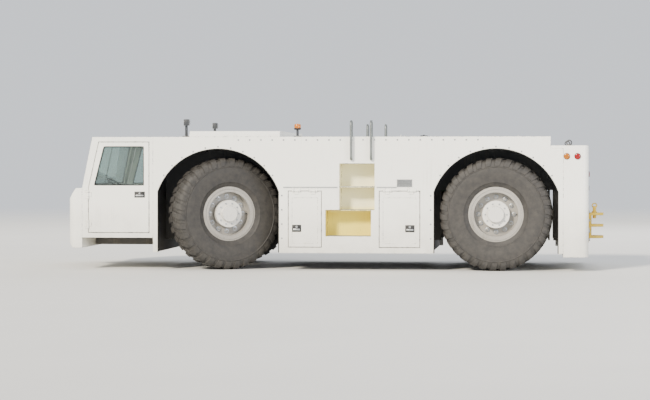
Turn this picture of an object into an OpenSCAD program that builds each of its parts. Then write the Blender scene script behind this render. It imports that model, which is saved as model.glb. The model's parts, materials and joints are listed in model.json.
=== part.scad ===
// Low aircraft pushback tractor for heavy airliners: full-width cab at the front,
// flat deck, engine ahead of the rear axle, ballast block at the tail, all four wheels steered.
// +X is forward, +Y is the driver's left, +Z is up, and the ground is at Z = 0.

/* [Layout] */
// Distance between the axles
wheelbase = 3900; // [3700:50:4300]
// Front axle to the face of the nose
front_overhang = 2150; // [2100:25:2400]
// Rear axle to the rear face of the ballast block
rear_overhang = 1280; // [1240:20:1500]
// Width over the side plates
body_w = 2800; // [2740:20:2900]
// Height of the flat deck
deck_z = 1875; // [1850:5:1950]
// Ground clearance of the belly plate and side plates
belly_z = 245; // [220:5:300]

/* [Wheels] */
// Tyre radius to the tips of the tread
tyre_r = 790; // [770:5:800]
// Tyre width
tyre_w = 480; // [440:10:490]
// Radius of the tyre's rounded shoulder
shoulder_r = 75; // [40:5:90]
// Radius of the rim flange
rim_r = 385; // [370:5:400]
// Radius of the rim's bead seat
seat_r = 330; // [322:2:340]
// Wall of the rim barrel
rim_wall = 24; // [16:2:26]
// Width of the rim between its flanges
rim_w = 380; // [340:10:400]
// Middle of the left tyres to middle of the right tyres
track = 2280; // [2260:10:2300]
// Kingpin axis inboard of the tyre's middle
kingpin_inset = 120; // [110:5:125]
// Angle to the left at which the front wheels are parked
steer_rest = 28; // [0:1:28]
// Wheel studs on each rim
stud_count = 12; // [8:1:16]
// Radius of the circle of wheel studs
stud_circle = 245; // [225:5:265]
// Radius of the hub drum
hub_r = 190; // [170:5:200]
// Thickness of the wheel disc
disc_t = 24; // [16:2:30]

/* [Axles] */
// Radius of the axle tube
tube_r = 115; // [100:5:120]
// Radius of the differential bowl
bowl_r = 240; // [220:5:250]
// Radius of the knuckle body round the kingpin
knuckle_r = 105; // [90:5:108]
// Half height of the knuckle body
knuckle_half = 150; // [130:5:155]
// Thickness of the fork arms above and below a knuckle
fork_t = 50; // [40:5:55]
// Radius of the fork arms round the kingpin
fork_r = 70; // [60:2:76]
// Kingpin radius
kingpin_r = 36; // [30:2:44]
// Radius of the wheel spindle
spindle_r = 80; // [70:5:90]
// Length of the steering arm from the kingpin to the tie rod's eye
arm_len = 200; // [190:5:205]
// Radius of the tie rod
rod_r = 20; // [16:1:24]
// How far the tie rod's middle is cranked clear of the bowl
rod_crank = 120; // [110:5:150]
// Radius of the pins in the tie rod's eyes
rod_pin_r = 15; // [12:1:18]
// Radius of the propeller shafts
shaft_r = 55; // [40:5:60]

/* [Frame] */
// Distance between the inner faces of the two frame rails
rail_gap = 880; // [820:10:900]
// Thickness of the frame rails
rail_t = 60; // [40:5:60]
// Thickness of the side plates
skin_t = 30; // [20:2:40]
// Thickness of the deck plates
deck_t = 30; // [20:2:40]
// Thickness of the cross walls that close the wheel pockets
wall_t = 25; // [16:1:40]
// Underside of the frame rails between the axles
rail_z = 400; // [350:10:450]
// Underside of the frame rails over the axles
rail_arch_z = 1120; // [1100:10:1200]
// Length of the rails' legs that stand on the axles
rail_leg = 180; // [140:10:200]
// Length of rail beside each wall of a wheel pocket
rail_end = 130; // [80:10:150]
// Height of the outriggers under the deck's edge
outrigger_h = 180; // [120:10:185]
// Thickness of the belly plate
belly_t = 12; // [8:1:20]

/* [Wheel arches] */
// Radius of the arch about the wheel centre
arch_r = 915; // [905:5:930]
// Half width of the arch between its upright sides
arch_half = 860; // [850:5:880]
// Half length of the wheel pocket behind the side plates
pocket_half = 930; // [910:5:950]

/* [Front cover] */
// Height of the raised cover above the deck
cover_h = 80; // [60:5:120]
// Front edge of the cover ahead of the front axle
cover_fore = 407; // [350:10:450]
// Rear edge of the cover behind the front axle
cover_aft = 877; // [800:10:900]
// Chamfer along the cover's sides
cover_chamfer = 55; // [30:5:70]

/* [Engine bay] */
// Front edge of the engine hood ahead of the rear axle
hood_ahead = 1485; // [1480:5:1560]
// Length of the engine hood
hood_len = 1790; // [1600:10:1850]
// Width of the engine hood
hood_w = 1800; // [1500:20:2000]
// Depth of the hood's skirt below the deck
hood_skirt = 120; // [90:5:150]
// Length of the engine
engine_len = 960; // [860:10:960]
// Width of the engine over its block
engine_w = 760; // [600:10:790]
// Underside of the engine
engine_z = 930; // [900:10:1000]
// Height of the engine
engine_h = 770; // [600:10:780]
// Gap between the engine and the hood's front edge
engine_gap = 25; // [20:5:60]
// Height of the radiator core
radiator_h = 640; // [500:10:650]
// Thickness of the radiator core
radiator_d = 150; // [100:10:160]
// Slots in each bank of louvres
louvre_count = 9; // [5:1:12]

/* [Cab] */
// Depth of the nose ahead of the windscreen's foot
nose_d = 200; // [150:10:260]
// Height of the windscreen's foot
screen_foot_z = 1150; // [1100:10:1250]
// How far the windscreen's head lies behind its foot
screen_rake = 150; // [100:10:250]
// Top of the cab floor
cab_floor_z = 500; // [460:10:560]
// Thickness of the cab's roof, floor and posts
cab_t = 50; // [40:2:60]
// Glass thickness
glass_t = 8; // [5:1:10]
// Middle band of the windscreen's frame at its sides
screen_side = 110; // [90:5:150]
// Front edge of the doors behind the windscreen's foot
door_fore = 95; // [85:5:120]
// Gap round a door
door_gap = 8; // [6:1:12]
// Middle of each seat from the middle of the cab
seat_y = 720; // [680:10:760]
// Seat width
seat_w = 500; // [460:10:560]
// Depth of the seat cushion
seat_d = 520; // [460:10:540]
// Height of the seat's base
seat_base_h = 260; // [200:10:300]
// Thickness of the seat cushion at its front
cushion_t = 120; // [80:5:140]
// Top of the backrest above the cab floor
back_h = 990; // [850:10:1050]
// Thickness of the backrest at its top
back_t = 110; // [80:5:140]
// Steering wheel radius
wheel_rim_r = 200; // [180:5:230]
// Underside of the dashboard
dash_z = 820; // [780:10:900]
// Depth of the dashboard
dash_d = 290; // [240:10:320]

/* [Lockers and steps] */
// Top edge of the locker doors, where they are hinged
locker_top = 1110; // [1050:10:1150]
// Bottom edge of the locker doors
locker_bottom = 330; // [300:10:400]
// Depth of the lockers
locker_d = 420; // [300:10:440]
// Length of the front lockers
locker_len = 460; // [400:10:460]
// Plate thickness of the lockers
locker_t = 4; // [3:1:6]
// Middle of the lower step box behind the front axle
steps_aft = 1840; // [1800:10:1870]
// Middle of the foot column behind the front axle
column_aft = 1964; // [1900:4:1970]
// Middle of the grab rails behind the front axle
grab_aft = 2025; // [1950:5:2100]
// Width of the lower step box
step_w = 640; // [560:10:680]
// Height of the lower step box
step_h = 370; // [330:10:400]
// Bottom of the lower step box
step_z = 480; // [440:10:520]
// Width of the foot column above it
column_w = 494; // [400:2:510]
// Top of the foot column
column_top = 1500; // [1400:20:1560]
// Depth of the steps into the body
step_d = 260; // [200:10:300]
// Rungs in the foot column
rung_count = 2; // [1:1:3]
// Plate thickness of the step boxes
step_t = 6; // [4:1:8]
// Tube radius of the grab rails
grab_r = 17; // [12:1:22]
// Distance between the two grab rails
grab_gap = 280; // [240:10:400]
// Top of the grab rails above the deck
grab_top = 215; // [150:5:300]
// Lower end of the grab rails on the side plate
grab_low = 1560; // [1540:10:1700]
// Grab rail's middle off the side plate
grab_off = 55; // [50:5:80]
// Radius of the half ring at the grab rail's top
grab_turn_r = 60; // [50:5:80]

/* [Tail and hitches] */
// Top of the ballast block
tail_z = 1750; // [1700:10:1800]
// Ground clearance of the ballast block
tail_bottom = 200; // [180:5:240]
// Rear end of the deck ahead of the ballast block's rear face
tail_shelf = 525; // [480:5:560]
// Radius of the block's upright corners
tail_corner_r = 90; // [40:5:120]
// Reach of the hitches past the body
hitch_reach = 250; // [220:10:320]
// Underside of the lowest hitch plate
hitch_z = 420; // [380:10:460]
// Rise from one hitch plate to the next
hitch_step = 165; // [150:5:180]
// Thickness of a hitch plate
hitch_t = 40; // [30:2:50]
// Width of a hitch plate
hitch_w = 260; // [220:10:320]
// Radius of the tow pin's hole
hitch_bore_r = 26; // [20:1:32]

/* [Lamps and posts] */
// Radius of a headlamp
lamp_r = 85; // [70:5:90]
// Height of the headlamps' middle
lamp_z = 800; // [700:10:850]
// Middle of the outer headlamps inboard of the side plates
lamp_in = 260; // [240:10:320]
// Distance between two headlamps
lamp_gap = 230; // [210:10:260]
// Depth of the lamp recesses
lamp_d = 40; // [30:2:60]
// Radius of a marker or tail lamp
marker_r = 45; // [35:5:55]
// Height of the marker lamps' middle
marker_z = 1600; // [1500:10:1650]
// Height of the tail lamps' middle
tail_lamp_z = 1350; // [1200:10:1450]
// Height of the work lamp posts
post_h = 180; // [150:10:220]
// Work lamp posts ahead of the front axle
post_fore = 470; // [450:5:500]
// Warning beacon behind the front axle
beacon_aft = 1114; // [1000:5:1200]
// Posts and beacon inboard of the side plates
post_in = 120; // [100:5:200]

/* [Hidden] */
$fn = 64;

// Clearance of a shaft in its hole, of a piece on its seat, and of one moving piece from another
fit = 0.05;
seat = 0.3;
clear = 5;

// Hinge barrels: radius, pin radius, length of the middle barrel and reach of the leaves
hinge_r = 11;
hinge_pin_r = 5;
hinge_len = 60;
hinge_leaf = 45;

// Radiator ahead of the deck's rear end, and below the deck
radiator_in = 70;
radiator_gap = 40;

body_len = front_overhang + wheelbase + rear_overhang;
nose_x = body_len/2;
tail_x = -body_len/2;
front_x = nose_x - front_overhang;
rear_x = tail_x + rear_overhang;
radiator_z = deck_z - deck_t - radiator_gap - radiator_h;
half_w = body_w/2;
skin_y = half_w - skin_t;
hub_z = tyre_r;
king_y = track/2 - kingpin_inset;
rail_y = rail_gap/2;
deck_rear_x = tail_x + tail_shelf;
cab_rear_x = front_x + pocket_half;
screen_x = nose_x - nose_d;
hood_x = rear_x + hood_ahead;
steps_x = front_x - steps_aft;
column_x = front_x - column_aft;
grab_x = front_x - grab_aft;
arch_top = hub_z + arch_r;
radiator_x = deck_rear_x + radiator_in;
fork_inner = knuckle_r + 2*clear;
screen_slope = screen_rake/(deck_z - screen_foot_z);
under_deck = deck_z - deck_t - seat;
seat_foot_x = cab_rear_x + cab_t + 30;
wheel_hub = [screen_x - 400, seat_y, 1175];
wheel_tilt = -32;
pin_x = hitch_reach - hitch_w/2;
// Seat of a rail's leg above the middle of the axle
axle_pad = tube_r + 15;
// The tie rod's eyes stand this far above and below the rod, and the steering arm lies under them
rod_boss = 4;
eye_r = 42;
arm_t = 26;

// One row an axle: [middle, side to which the tie rod lies, steering angle at rest]
AXLES = [[front_x, 1, steer_rest], [rear_x, -1, 0]];
function axle_x(row) = row[0];
function rod_side(row) = row[1];
function rest_angle(row) = row[2];
FRONT = AXLES[0];
REAR = AXLES[1];
LEFT = 1;
RIGHT = -1;

// One row a locker door: [front edge, rear edge]. The front one starts behind the front wheel's
// pocket; the rear one fills the bay from behind the steps to the rear wheel's pocket.
LOCKERS = [[front_x - pocket_half - 70, front_x - pocket_half - 70 - locker_len],
           [front_x - steps_aft - step_w/2 - 120, rear_x + pocket_half + 130]];
function locker_fore(row) = row[0];
function locker_aft(row) = row[1];

white = [0.93, 0.93, 0.91];
frame_grey = [0.24, 0.25, 0.26];
rubber = [0.07, 0.07, 0.075];
steel = [0.62, 0.63, 0.64];
rim_grey = [0.80, 0.80, 0.78];
step_yellow = [0.86, 0.72, 0.16];
glass_tint = [0.20, 0.26, 0.28, 0.5];

// Small helpers

// A box from its low corner to its high corner
module span(low, high) { translate(low) cube(high - low); }

// The outline of children() in the XZ plane, extruded from y0 to y1
module side_view(y0, y1) {
    translate([0, y1, 0]) rotate([90, 0, 0]) linear_extrude(y1 - y0) children();
}

// Children and their mirror image on the other side of the vehicle
module both_sides() {
    children();
    mirror([0, 1, 0]) children();
}

// A rectangle from corner to corner
module rect(low, high) { translate(low) square(high - low); }

// Places one corner's pieces: the origin is on the kingpin at hub height, +Y is outboard
module at_corner(row, side) {
    translate([axle_x(row), side*king_y, hub_z])
        rotate([0, 0, rest_angle(row)])
            mirror([0, side == LEFT ? 0 : 1, 0])
                children();
}

// Turns a revolved piece onto the wheel's axis, with its zero at the tyre's middle
module on_hub() { translate([0, kingpin_inset, 0]) rotate([-90, 0, 0]) children(); }

// The opening of one wheel arch in side view
module arch_outline(row) {
    translate([axle_x(row), hub_z]) intersection() {
        union() {
            circle(r = arch_r, $fn = 128);
            rect([-arch_r, -hub_z - 1], [arch_r, 0]);
        }
        rect([-arch_half, -hub_z - 1], [arch_half, arch_r]);
    }
}

// One hinge, its axis along Z, its leaves on the plane one barrel radius behind it in Y.
// The moving leaf lies towards -X and has the middle barrel; the fixed one has the ends and the pin.
module barrel_hinge(moving) {
    low = -hinge_r - 0.5;
    if (moving) difference() {
        union() {
            cylinder(r = hinge_r, h = hinge_len, center = true);
            span([-hinge_leaf, low, -hinge_len/2], [-2, -hinge_r + 5, hinge_len/2]);
        }
        cylinder(r = hinge_pin_r + fit, h = hinge_len + 2, center = true);
    }
    else {
        cylinder(r = hinge_pin_r, h = 2*hinge_len, center = true);
        for (s = [-1, 1]) translate([0, 0, s*(hinge_len*3/4 + 1)]) {
            cylinder(r = hinge_r, h = hinge_len/2, center = true);
            span([2, low, -hinge_len/4], [hinge_leaf, -hinge_r + 5, hinge_len/4]);
        }
    }
}

// Frame, skins and deck

// One frame rail: cut out over the axles, with a leg down to each, and lower under the cab
module rail_outline() {
    difference() {
        union() {
            rect([rear_x - pocket_half + seat, rail_z], [deck_rear_x + 1, arch_top - seat]);
            rect([deck_rear_x, rail_z], [cab_rear_x, under_deck]);
        }
        for (row = AXLES) translate([axle_x(row), 0])
            rect([-pocket_half + rail_end, 0], [pocket_half - rail_end, rail_arch_z]);
    }
    for (row = AXLES) translate([axle_x(row), 0])
        rect([-rail_leg/2, hub_z + axle_pad], [rail_leg/2, rail_arch_z + 1]);
    cab_low = cab_floor_z - cab_t - seat;
    rect([cab_rear_x - 1, rail_z], [screen_x, cab_low]);
    rect([cab_rear_x + seat, rail_z - cab_beam_drop], [screen_x, cab_low]);
}
cab_beam_drop = 80;

// Room for the hood's skirt in the frame under it
module hood_room() {
    room = 4*clear;
    span([hood_x - hood_len - room, -hood_w/2 - room, deck_z - hood_skirt - room],
         [hood_x + room, hood_w/2 + room, deck_z]);
}

module frame_rails() color(frame_grey) difference() {
    both_sides() side_view(rail_y, rail_y + rail_t) rail_outline();
    hood_room();
}

// A wall across the vehicle that closes a wheel pocket, notched for the rails.
// Its middle, between the rails, ends at mid_top.
module pocket_wall(x, mid_top) translate([x, 0, 0]) {
    span([0, -skin_y, belly_z], [wall_t, skin_y, rail_z - seat]);
    both_sides() span([0, rail_y + rail_t + seat, rail_z - 1], [wall_t, skin_y, under_deck]);
    span([0, -rail_y + seat, rail_z - 1], [wall_t, rail_y - seat, mid_top]);
}

// Gap between the engine and the wall that ends below it
sump_gap = 30;

// The walls of the wheel pockets, and the belly plate between two of them
module bay_walls() color(frame_grey) difference() {
    union() {
        pocket_wall(front_x + pocket_half - wall_t, under_deck);
        pocket_wall(front_x - pocket_half, under_deck);
        pocket_wall(rear_x + pocket_half - wall_t, engine_z - sump_gap);
        span([rear_x + pocket_half + seat, -skin_y, belly_z],
             [front_x - pocket_half - seat, skin_y, belly_z + belly_t]);
    }
    hood_room();
}

// Box beams: width and height, distance from the axle and rise over the rails' arch
beam = [120, 200];
beam_x = 420;
beam_rise = 60;
// Outriggers: distance from the axle and plate thickness
outrigger_x = 300;
outrigger_t = 24;

module cross_members() color(frame_grey) difference() {
    union() {
        // Box beams between the rails over the axles
        for (row = AXLES, dx = [-beam_x, beam_x]) translate([axle_x(row) + dx, 0, rail_arch_z + beam_rise])
            span([-beam[0]/2, -rail_y + seat, 0], [beam[0]/2, rail_y - seat, beam[1]]);
        // Outriggers that carry the deck's edge over the wheels, deepest at the rail
        both_sides() for (row = AXLES, dx = [-outrigger_x, outrigger_x])
            translate([axle_x(row) + dx - outrigger_t/2, 0, 0]) rotate([90, 0, 90])
                linear_extrude(outrigger_t) polygon([
                    [rail_y + rail_t + seat, under_deck], [rail_y + rail_t + seat, under_deck - outrigger_h],
                    [skin_y, under_deck - outrigger_h/2], [skin_y, under_deck]]);
        // End wall against the ballast block, and the shelf under the radiator
        span([deck_rear_x, -rail_y + seat, rail_z], [deck_rear_x + wall_t, rail_y - seat, under_deck]);
        span([deck_rear_x + 1, -rail_y + seat, radiator_z - wall_t],
             [radiator_x + radiator_d + radiator_in, rail_y - seat, radiator_z - seat]);
    }
    hood_room();
}

module side_outline() {
    difference() {
        rect([rear_x - pocket_half + seat, belly_z], [cab_rear_x, deck_z]);
        for (row = AXLES) arch_outline(row);
        rect([tail_x, arch_top - seat], [deck_rear_x, deck_z + 1]);
        for (row = LOCKERS)
            rect([locker_aft(row) - door_gap, locker_bottom - door_gap],
                 [locker_fore(row) + door_gap, locker_top + door_gap]);
        rect([steps_x - step_w/2, step_z], [steps_x + step_w/2, step_z + step_h]);
        rect([column_x - column_w/2, step_z + step_h - 1], [column_x + column_w/2, column_top]);
    }
}

// One side plate with the fixed barrels of its locker doors' hinges
module side_plate() {
    side_view(skin_y + seat, half_w) side_outline();
    for (row = LOCKERS) locker_hinges(row, false);
}

module side_plate_left() color(white) side_plate();
module side_plate_right() color(white) mirror([0, 1, 0]) side_plate();

// Slots over the radiator, behind the hood
grille_len = 300;
grille_gap = 80;
grille_count = 8;

module grille_slots() {
    pitch = grille_len/grille_count;
    for (i = [0 : grille_count - 1])
        translate([hood_x - hood_len - grille_gap - grille_len + (i + 0.25)*pitch, 0, 0])
            span([0, -rail_y, deck_z - deck_t - 1], [pitch/2, rail_y, deck_z + 1]);
}

module deck() color(white) {
    difference() {
        span([deck_rear_x, -skin_y, deck_z - deck_t], [cab_rear_x, skin_y, deck_z]);
        span([hood_x - hood_len, -hood_w/2, deck_z - deck_t - 1], [hood_x, hood_w/2, deck_z + 1]);
        grille_slots();
    }
    hood_hinges(false);
}

cover_t = 20;

// The cover's section, drawn in by inset, from a given height up
module cover_section(inset, low) {
    edge = half_w - cover_chamfer;
    side = half_w - inset;
    top = deck_z + cover_h;
    bend = top - cover_chamfer - inset/2;
    polygon([[-side, low], [-side, bend], [-edge, top - inset],
             [edge, top - inset], [side, bend], [side, low]]);
}

// A tray of bent plate, open below, with a wall across each end
module front_cover() color(white) translate([front_x - cover_aft, 0, 0]) rotate([90, 0, 90]) {
    cover_len = cover_aft + cover_fore;
    linear_extrude(cover_len) difference() {
        cover_section(0, deck_z + seat);
        cover_section(cover_t, deck_z);
    }
    for (x = [0, cover_len - cover_t])
        translate([0, 0, x]) linear_extrude(cover_t) cover_section(cover_t/2, deck_z + seat);
}

module tail_outline() {
    difference() {
        rect([tail_x, tail_bottom], [deck_rear_x - seat, tail_z]);
        rect([rear_x - pocket_half, 0], [deck_rear_x + 1, hub_z + arch_r]);
    }
}

module rear_block() color(white) intersection() {
    side_view(-half_w, half_w) tail_outline();
    union() {
        span([tail_x + tail_corner_r, -half_w, 0], [deck_rear_x, half_w, deck_z]);
        span([tail_x, -half_w + tail_corner_r, 0], [deck_rear_x, half_w - tail_corner_r, deck_z]);
        for (side = [LEFT, RIGHT])
            translate([tail_x + tail_corner_r, side*(half_w - tail_corner_r), 0])
                cylinder(r = tail_corner_r, h = deck_z);
    }
}

// Hitches

// One jaw plate: straight from the back plate, round about the pin's hole
module hitch_plate(hole_r) linear_extrude(hitch_t) difference() {
    intersection() {
        union() {
            rect([0, -hitch_w/2], [pin_x, hitch_w/2]);
            translate([pin_x, 0]) circle(r = hitch_w/2);
        }
        rect([seat, -hitch_w/2], [hitch_reach, hitch_w/2]);
    }
    translate([pin_x, 0]) circle(r = hole_r);
}

// Back plate: thickness, and rim round the jaw
hitch_back_t = 35;
hitch_back_rim = 60;
// Cheeks between the jaw plates: thickness, reach, and middle inboard of the plates' edge
cheek_t = 28;
cheek_reach = 40;
cheek_in = 15;
// Tow pin: play in its hole and in the top plate's, reach below and above that plate, collar and ring
pin_play = 1;
guide_play = 6;
pin_below = 45;
pin_above = 90;
collar_t = 16;
collar_rim = 14;
pin_eye_r = 40;
pin_eye_t = 18;

// A back plate with three jaw plates between two cheeks
module hitch() {
    top = hitch_z + 2*hitch_step + hitch_t;
    for (i = [0 : 2]) translate([0, 0, hitch_z + i*hitch_step])
        hitch_plate(i == 2 ? hitch_bore_r + guide_play : hitch_bore_r);
    span([seat, -hitch_w/2 - hitch_back_rim, hitch_z - hitch_back_rim],
         [hitch_back_t, hitch_w/2 + hitch_back_rim, top + hitch_back_rim]);
    for (side = [LEFT, RIGHT]) translate([0, side*(hitch_w/2 - cheek_in), 0])
        span([hitch_back_t - 1, -cheek_t/2, hitch_z], [hitch_back_t + cheek_reach, cheek_t/2, top]);
    translate([pin_x, 0, top + seat]) tow_pin();
}

// The tow pin is parked in the wider hole of the top plate, where it hangs by its collar
module tow_pin() {
    translate([0, 0, -seat - hitch_t - pin_below])
        cylinder(r = hitch_bore_r - pin_play, h = seat + hitch_t + pin_below + pin_above);
    cylinder(r = hitch_bore_r + collar_rim, h = collar_t);
    translate([0, 0, pin_above + pin_eye_r/4]) rotate([90, 0, 0]) translate([0, 0, -pin_eye_t/2])
        linear_extrude(pin_eye_t) difference() {
            circle(r = pin_eye_r);
            circle(r = pin_eye_r*0.6);
        }
}

module front_hitch() color(step_yellow) translate([nose_x, 0, 0]) hitch();
module rear_hitch() color(step_yellow) translate([tail_x, 0, 0]) mirror([1, 0, 0]) hitch();

// Cab

// Side outline of the cab between its rear wall and its raked front
module cab_outline(inset) {
    head = screen_x - screen_rake;
    polygon([[cab_rear_x + inset, cab_floor_z - cab_t + inset],
             [screen_x - inset, cab_floor_z - cab_t + inset],
             [screen_x - inset, screen_foot_z],
             [head - inset, deck_z - inset],
             [cab_rear_x + inset, deck_z - inset]]);
}

// The door's rear edge ahead of the rear post, and its rims above the floor and below the roof
door_post = 10;
door_rim = 25;
// Width of the door's frame beside its window and above it, and the sill's rise over the screen's foot
sash = [70, 60];
sill_rise = 40;
// The door's lower part is a tray: width of its frame and thickness of its skin
door_frame = 60;
door_skin = 12;
// The windscreen's frame at its foot and head, and the glass behind the frame's face
screen_low = 50;
screen_high = 80;
screen_set = 25;

// Door opening in side view, grown by g on every side
module door_outline(g) {
    rear = cab_rear_x + cab_t + door_post - g;
    foot = screen_x - door_fore + g;
    low = cab_floor_z + door_rim - g;
    high = deck_z - cab_t - door_rim + g;
    polygon([[rear, low], [foot, low], [foot, screen_foot_z], [foot - screen_rake, high], [rear, high]]);
}

// Window of the door in side view, grown by g
module window_outline(g) {
    rear = cab_rear_x + cab_t + door_post + sash[0] - g;
    foot = screen_x - door_fore - sash[0] + g;
    low = screen_foot_z + sill_rise - g;
    high = deck_z - cab_t - door_rim - sash[1] + g;
    polygon([[rear, low], [foot - screen_slope*sill_rise, low], [foot - screen_rake, high], [rear, high]]);
}

module cab_shell() color(white) {
    difference() {
        side_view(-half_w, half_w) cab_outline(seat);
        side_view(-half_w + cab_t, half_w - cab_t) cab_outline(cab_t);
        side_view(-half_w - 1, half_w + 1) door_outline(door_gap);
        // Windscreen opening
        side_view(-half_w + screen_side, half_w - screen_side)
            rect([screen_x - screen_rake - 2*cab_t, screen_foot_z + screen_low],
                 [screen_x, deck_z - screen_high]);
    }
    both_sides() cab_hinges(false);
}

module cab_glass() color(glass_tint) {
    edge = half_w - screen_side - seat;
    low = screen_foot_z + screen_low + seat;
    high = deck_z - screen_high - seat;
    x0 = screen_x - screen_set - screen_slope*(low - screen_foot_z);
    x1 = screen_x - screen_set - screen_slope*(high - screen_foot_z);
    side_view(-edge, edge) polygon([[x0, low], [x0 + glass_t, low], [x1 + glass_t, high], [x1, high]]);
}

module cab_door() {
    difference() {
        side_view(half_w - cab_t, half_w) door_outline(0);
        side_view(half_w - cab_t - 1, half_w + 1) window_outline(0);
        // Hollow behind the lower panel
        side_view(half_w - cab_t - 1, half_w - door_skin)
            rect([cab_rear_x + cab_t + door_post + door_frame, cab_floor_z + door_rim + door_frame],
                 [screen_x - door_fore - door_frame, screen_foot_z - door_frame/2]);
    }
    cab_hinges(true);
}

module cab_door_left() color(white) cab_door();
module cab_door_right() color(white) mirror([0, 1, 0]) cab_door();

module door_glass()
    side_view(half_w - cab_t/2 - glass_t/2, half_w - cab_t/2 + glass_t/2) window_outline(-seat);
module door_glass_left() color(glass_tint) door_glass();
module door_glass_right() color(glass_tint) mirror([0, 1, 0]) door_glass();

// Radius of the nose's upright corners, and the chamfers along its chin and its brow
nose_corner_r = 120;
chin = [60, 80];
brow = [110, 160];

module nose_outline() {
    low = belly_z + chin[0];
    polygon([[screen_x + seat, low], [nose_x - chin[0], low], [nose_x, low + chin[1]],
             [nose_x, screen_foot_z - brow[1]], [nose_x - brow[0], screen_foot_z],
             [screen_x + seat, screen_foot_z]]);
}

module nose() color(white) difference() {
    intersection() {
        side_view(-half_w, half_w) nose_outline();
        union() {
            span([screen_x, -half_w, 0], [nose_x - nose_corner_r, half_w, deck_z]);
            span([screen_x, -half_w + nose_corner_r, 0], [nose_x, half_w - nose_corner_r, deck_z]);
            for (side = [LEFT, RIGHT])
                translate([nose_x - nose_corner_r, side*(half_w - nose_corner_r), 0])
                    cylinder(r = nose_corner_r, h = deck_z);
        }
    }
    headlamps(lamp_r + seat, 0, lamp_d + 1);
}

// Two round headlamps a side: discs of radius r that stand off the recess's floor
module headlamps(r, off, depth)
    for (side = [LEFT, RIGHT], dy = [0, lamp_gap])
        translate([nose_x - lamp_d + off, side*(half_w - lamp_in - dy), lamp_z]) rotate([0, 90, 0])
            cylinder(r = r, h = depth);

marker_h = 22;
marker_in = 155;
marker_gap = 148;
tail_lamp_h = 18;

module lamps() color([0.85, 0.86, 0.84]) {
    headlamps(lamp_r, seat, lamp_d - 2);
    // Twin marker lamps on the flanks of the ballast block
    both_sides() for (i = [0, 1])
        translate([tail_x + marker_in + i*marker_gap, half_w + seat, marker_z]) rotate([-90, 0, 0])
            cylinder(r = marker_r, h = marker_h);
    // Tail lamps in a row a side on its rear face
    both_sides() for (i = [0, 1])
        translate([tail_x - seat, half_w - lamp_in - i*marker_gap, tail_lamp_z]) rotate([0, -90, 0])
            cylinder(r = marker_r, h = tail_lamp_h);
}

// Steering column, gap beside the dashboard, slant of its gauge panel, rise to its brow, and its legs
column_len = 190;
column_r = 28;
dash_gap = 40;
dash_slant = [90, 150];
dash_rise = 10;
dash_fall = 30;
dash_leg = [100, 100];
dash_leg_in = 300;

module dashboard() color(frame_grey) {
    back = screen_x - cab_t - seat;
    face = back - dash_d;
    brow_z = screen_foot_z + dash_rise;
    side_view(-half_w + cab_t + dash_gap, half_w - cab_t - dash_gap) polygon([
        [back, dash_z], [back, brow_z - dash_fall], [face + dash_slant[0], brow_z],
        [face, brow_z - dash_slant[1]], [face + 2*dash_rise, dash_z]]);
    both_sides() translate([back - 2*dash_rise, half_w - dash_leg_in, cab_floor_z])
        span([-dash_leg[0], -dash_leg[1], seat], [0, 0, dash_z - cab_floor_z + 1]);
    translate(wheel_hub) rotate([0, wheel_tilt, 0])
        translate([0, 0, -column_len]) cylinder(r = column_r, h = column_len - seat);
}

// Steering wheel: rim tube, hub cap, spokes
wheel_tube_r = 14;
hub_cap_r = 42;
hub_cap_h = 30;
spoke = [24, 8];

module steering_wheel() color(rubber)
    translate(wheel_hub) rotate([0, wheel_tilt, 0]) {
        rotate_extrude() translate([wheel_rim_r, 0]) circle(r = wheel_tube_r, $fn = 24);
        cylinder(r = hub_cap_r, h = hub_cap_h);
        for (a = [90, 210, 330]) rotate([0, 0, a]) translate([0, -spoke[0]/2, spoke[1]/2])
            cube([wheel_rim_r - wheel_tube_r/2, spoke[0], spoke[1]]);
    }

// The seat's plinth inside its edges, slope of the cushion's front and of the backrest
plinth_in = 60;
cushion_lean = 20;
back_lean = 60;

// A seat: plinth, cushion that rises to the front and a backrest that leans back
module seat_piece() {
    translate([seat_foot_x, 0, cab_floor_z]) {
        span([plinth_in, -seat_w/2 + plinth_in, seat],
             [seat_d - 2*plinth_in, seat_w/2 - plinth_in, seat_base_h]);
        side_view(-seat_w/2, seat_w/2) polygon([
            [0, seat_base_h - 1], [seat_d - cushion_lean, seat_base_h - 1], [seat_d, seat_base_h + cushion_t],
            [back_t + back_lean, seat_base_h + cushion_t - cushion_lean/2], [back_t, back_h], [0, back_h]]);
    }
}

module seats() color([0.12, 0.12, 0.13])
    both_sides() translate([0, seat_y, 0]) seat_piece();

// Engine and cooling

// The engine's mount feet: length, height and rise over its underside
foot = [120, 60];
foot_z = 80;

module engine_block() color(steel) {
    translate([hood_x - engine_gap - engine_len, 0, engine_z]) {
        span([0, -engine_w/2, 0], [engine_len, engine_w/2, engine_h]);
        // Mount feet that reach the rails
        for (x = [foot[0], engine_len - 2*foot[0]])
            span([x, -rail_y + seat, foot_z], [x + foot[0], rail_y - seat, foot_z + foot[1]]);
    }
}

module radiator() color(frame_grey)
    span([radiator_x, -rail_y + seat, radiator_z],
         [radiator_x + radiator_d, rail_y - seat, radiator_z + radiator_h]);

// Hood: plate thickness, and the louvres' slots: width, share of the hood's half, margin at the ends
hood_t = 20;
louvre_w = 60;
louvre_share = 0.72;
louvre_in = 150;

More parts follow.
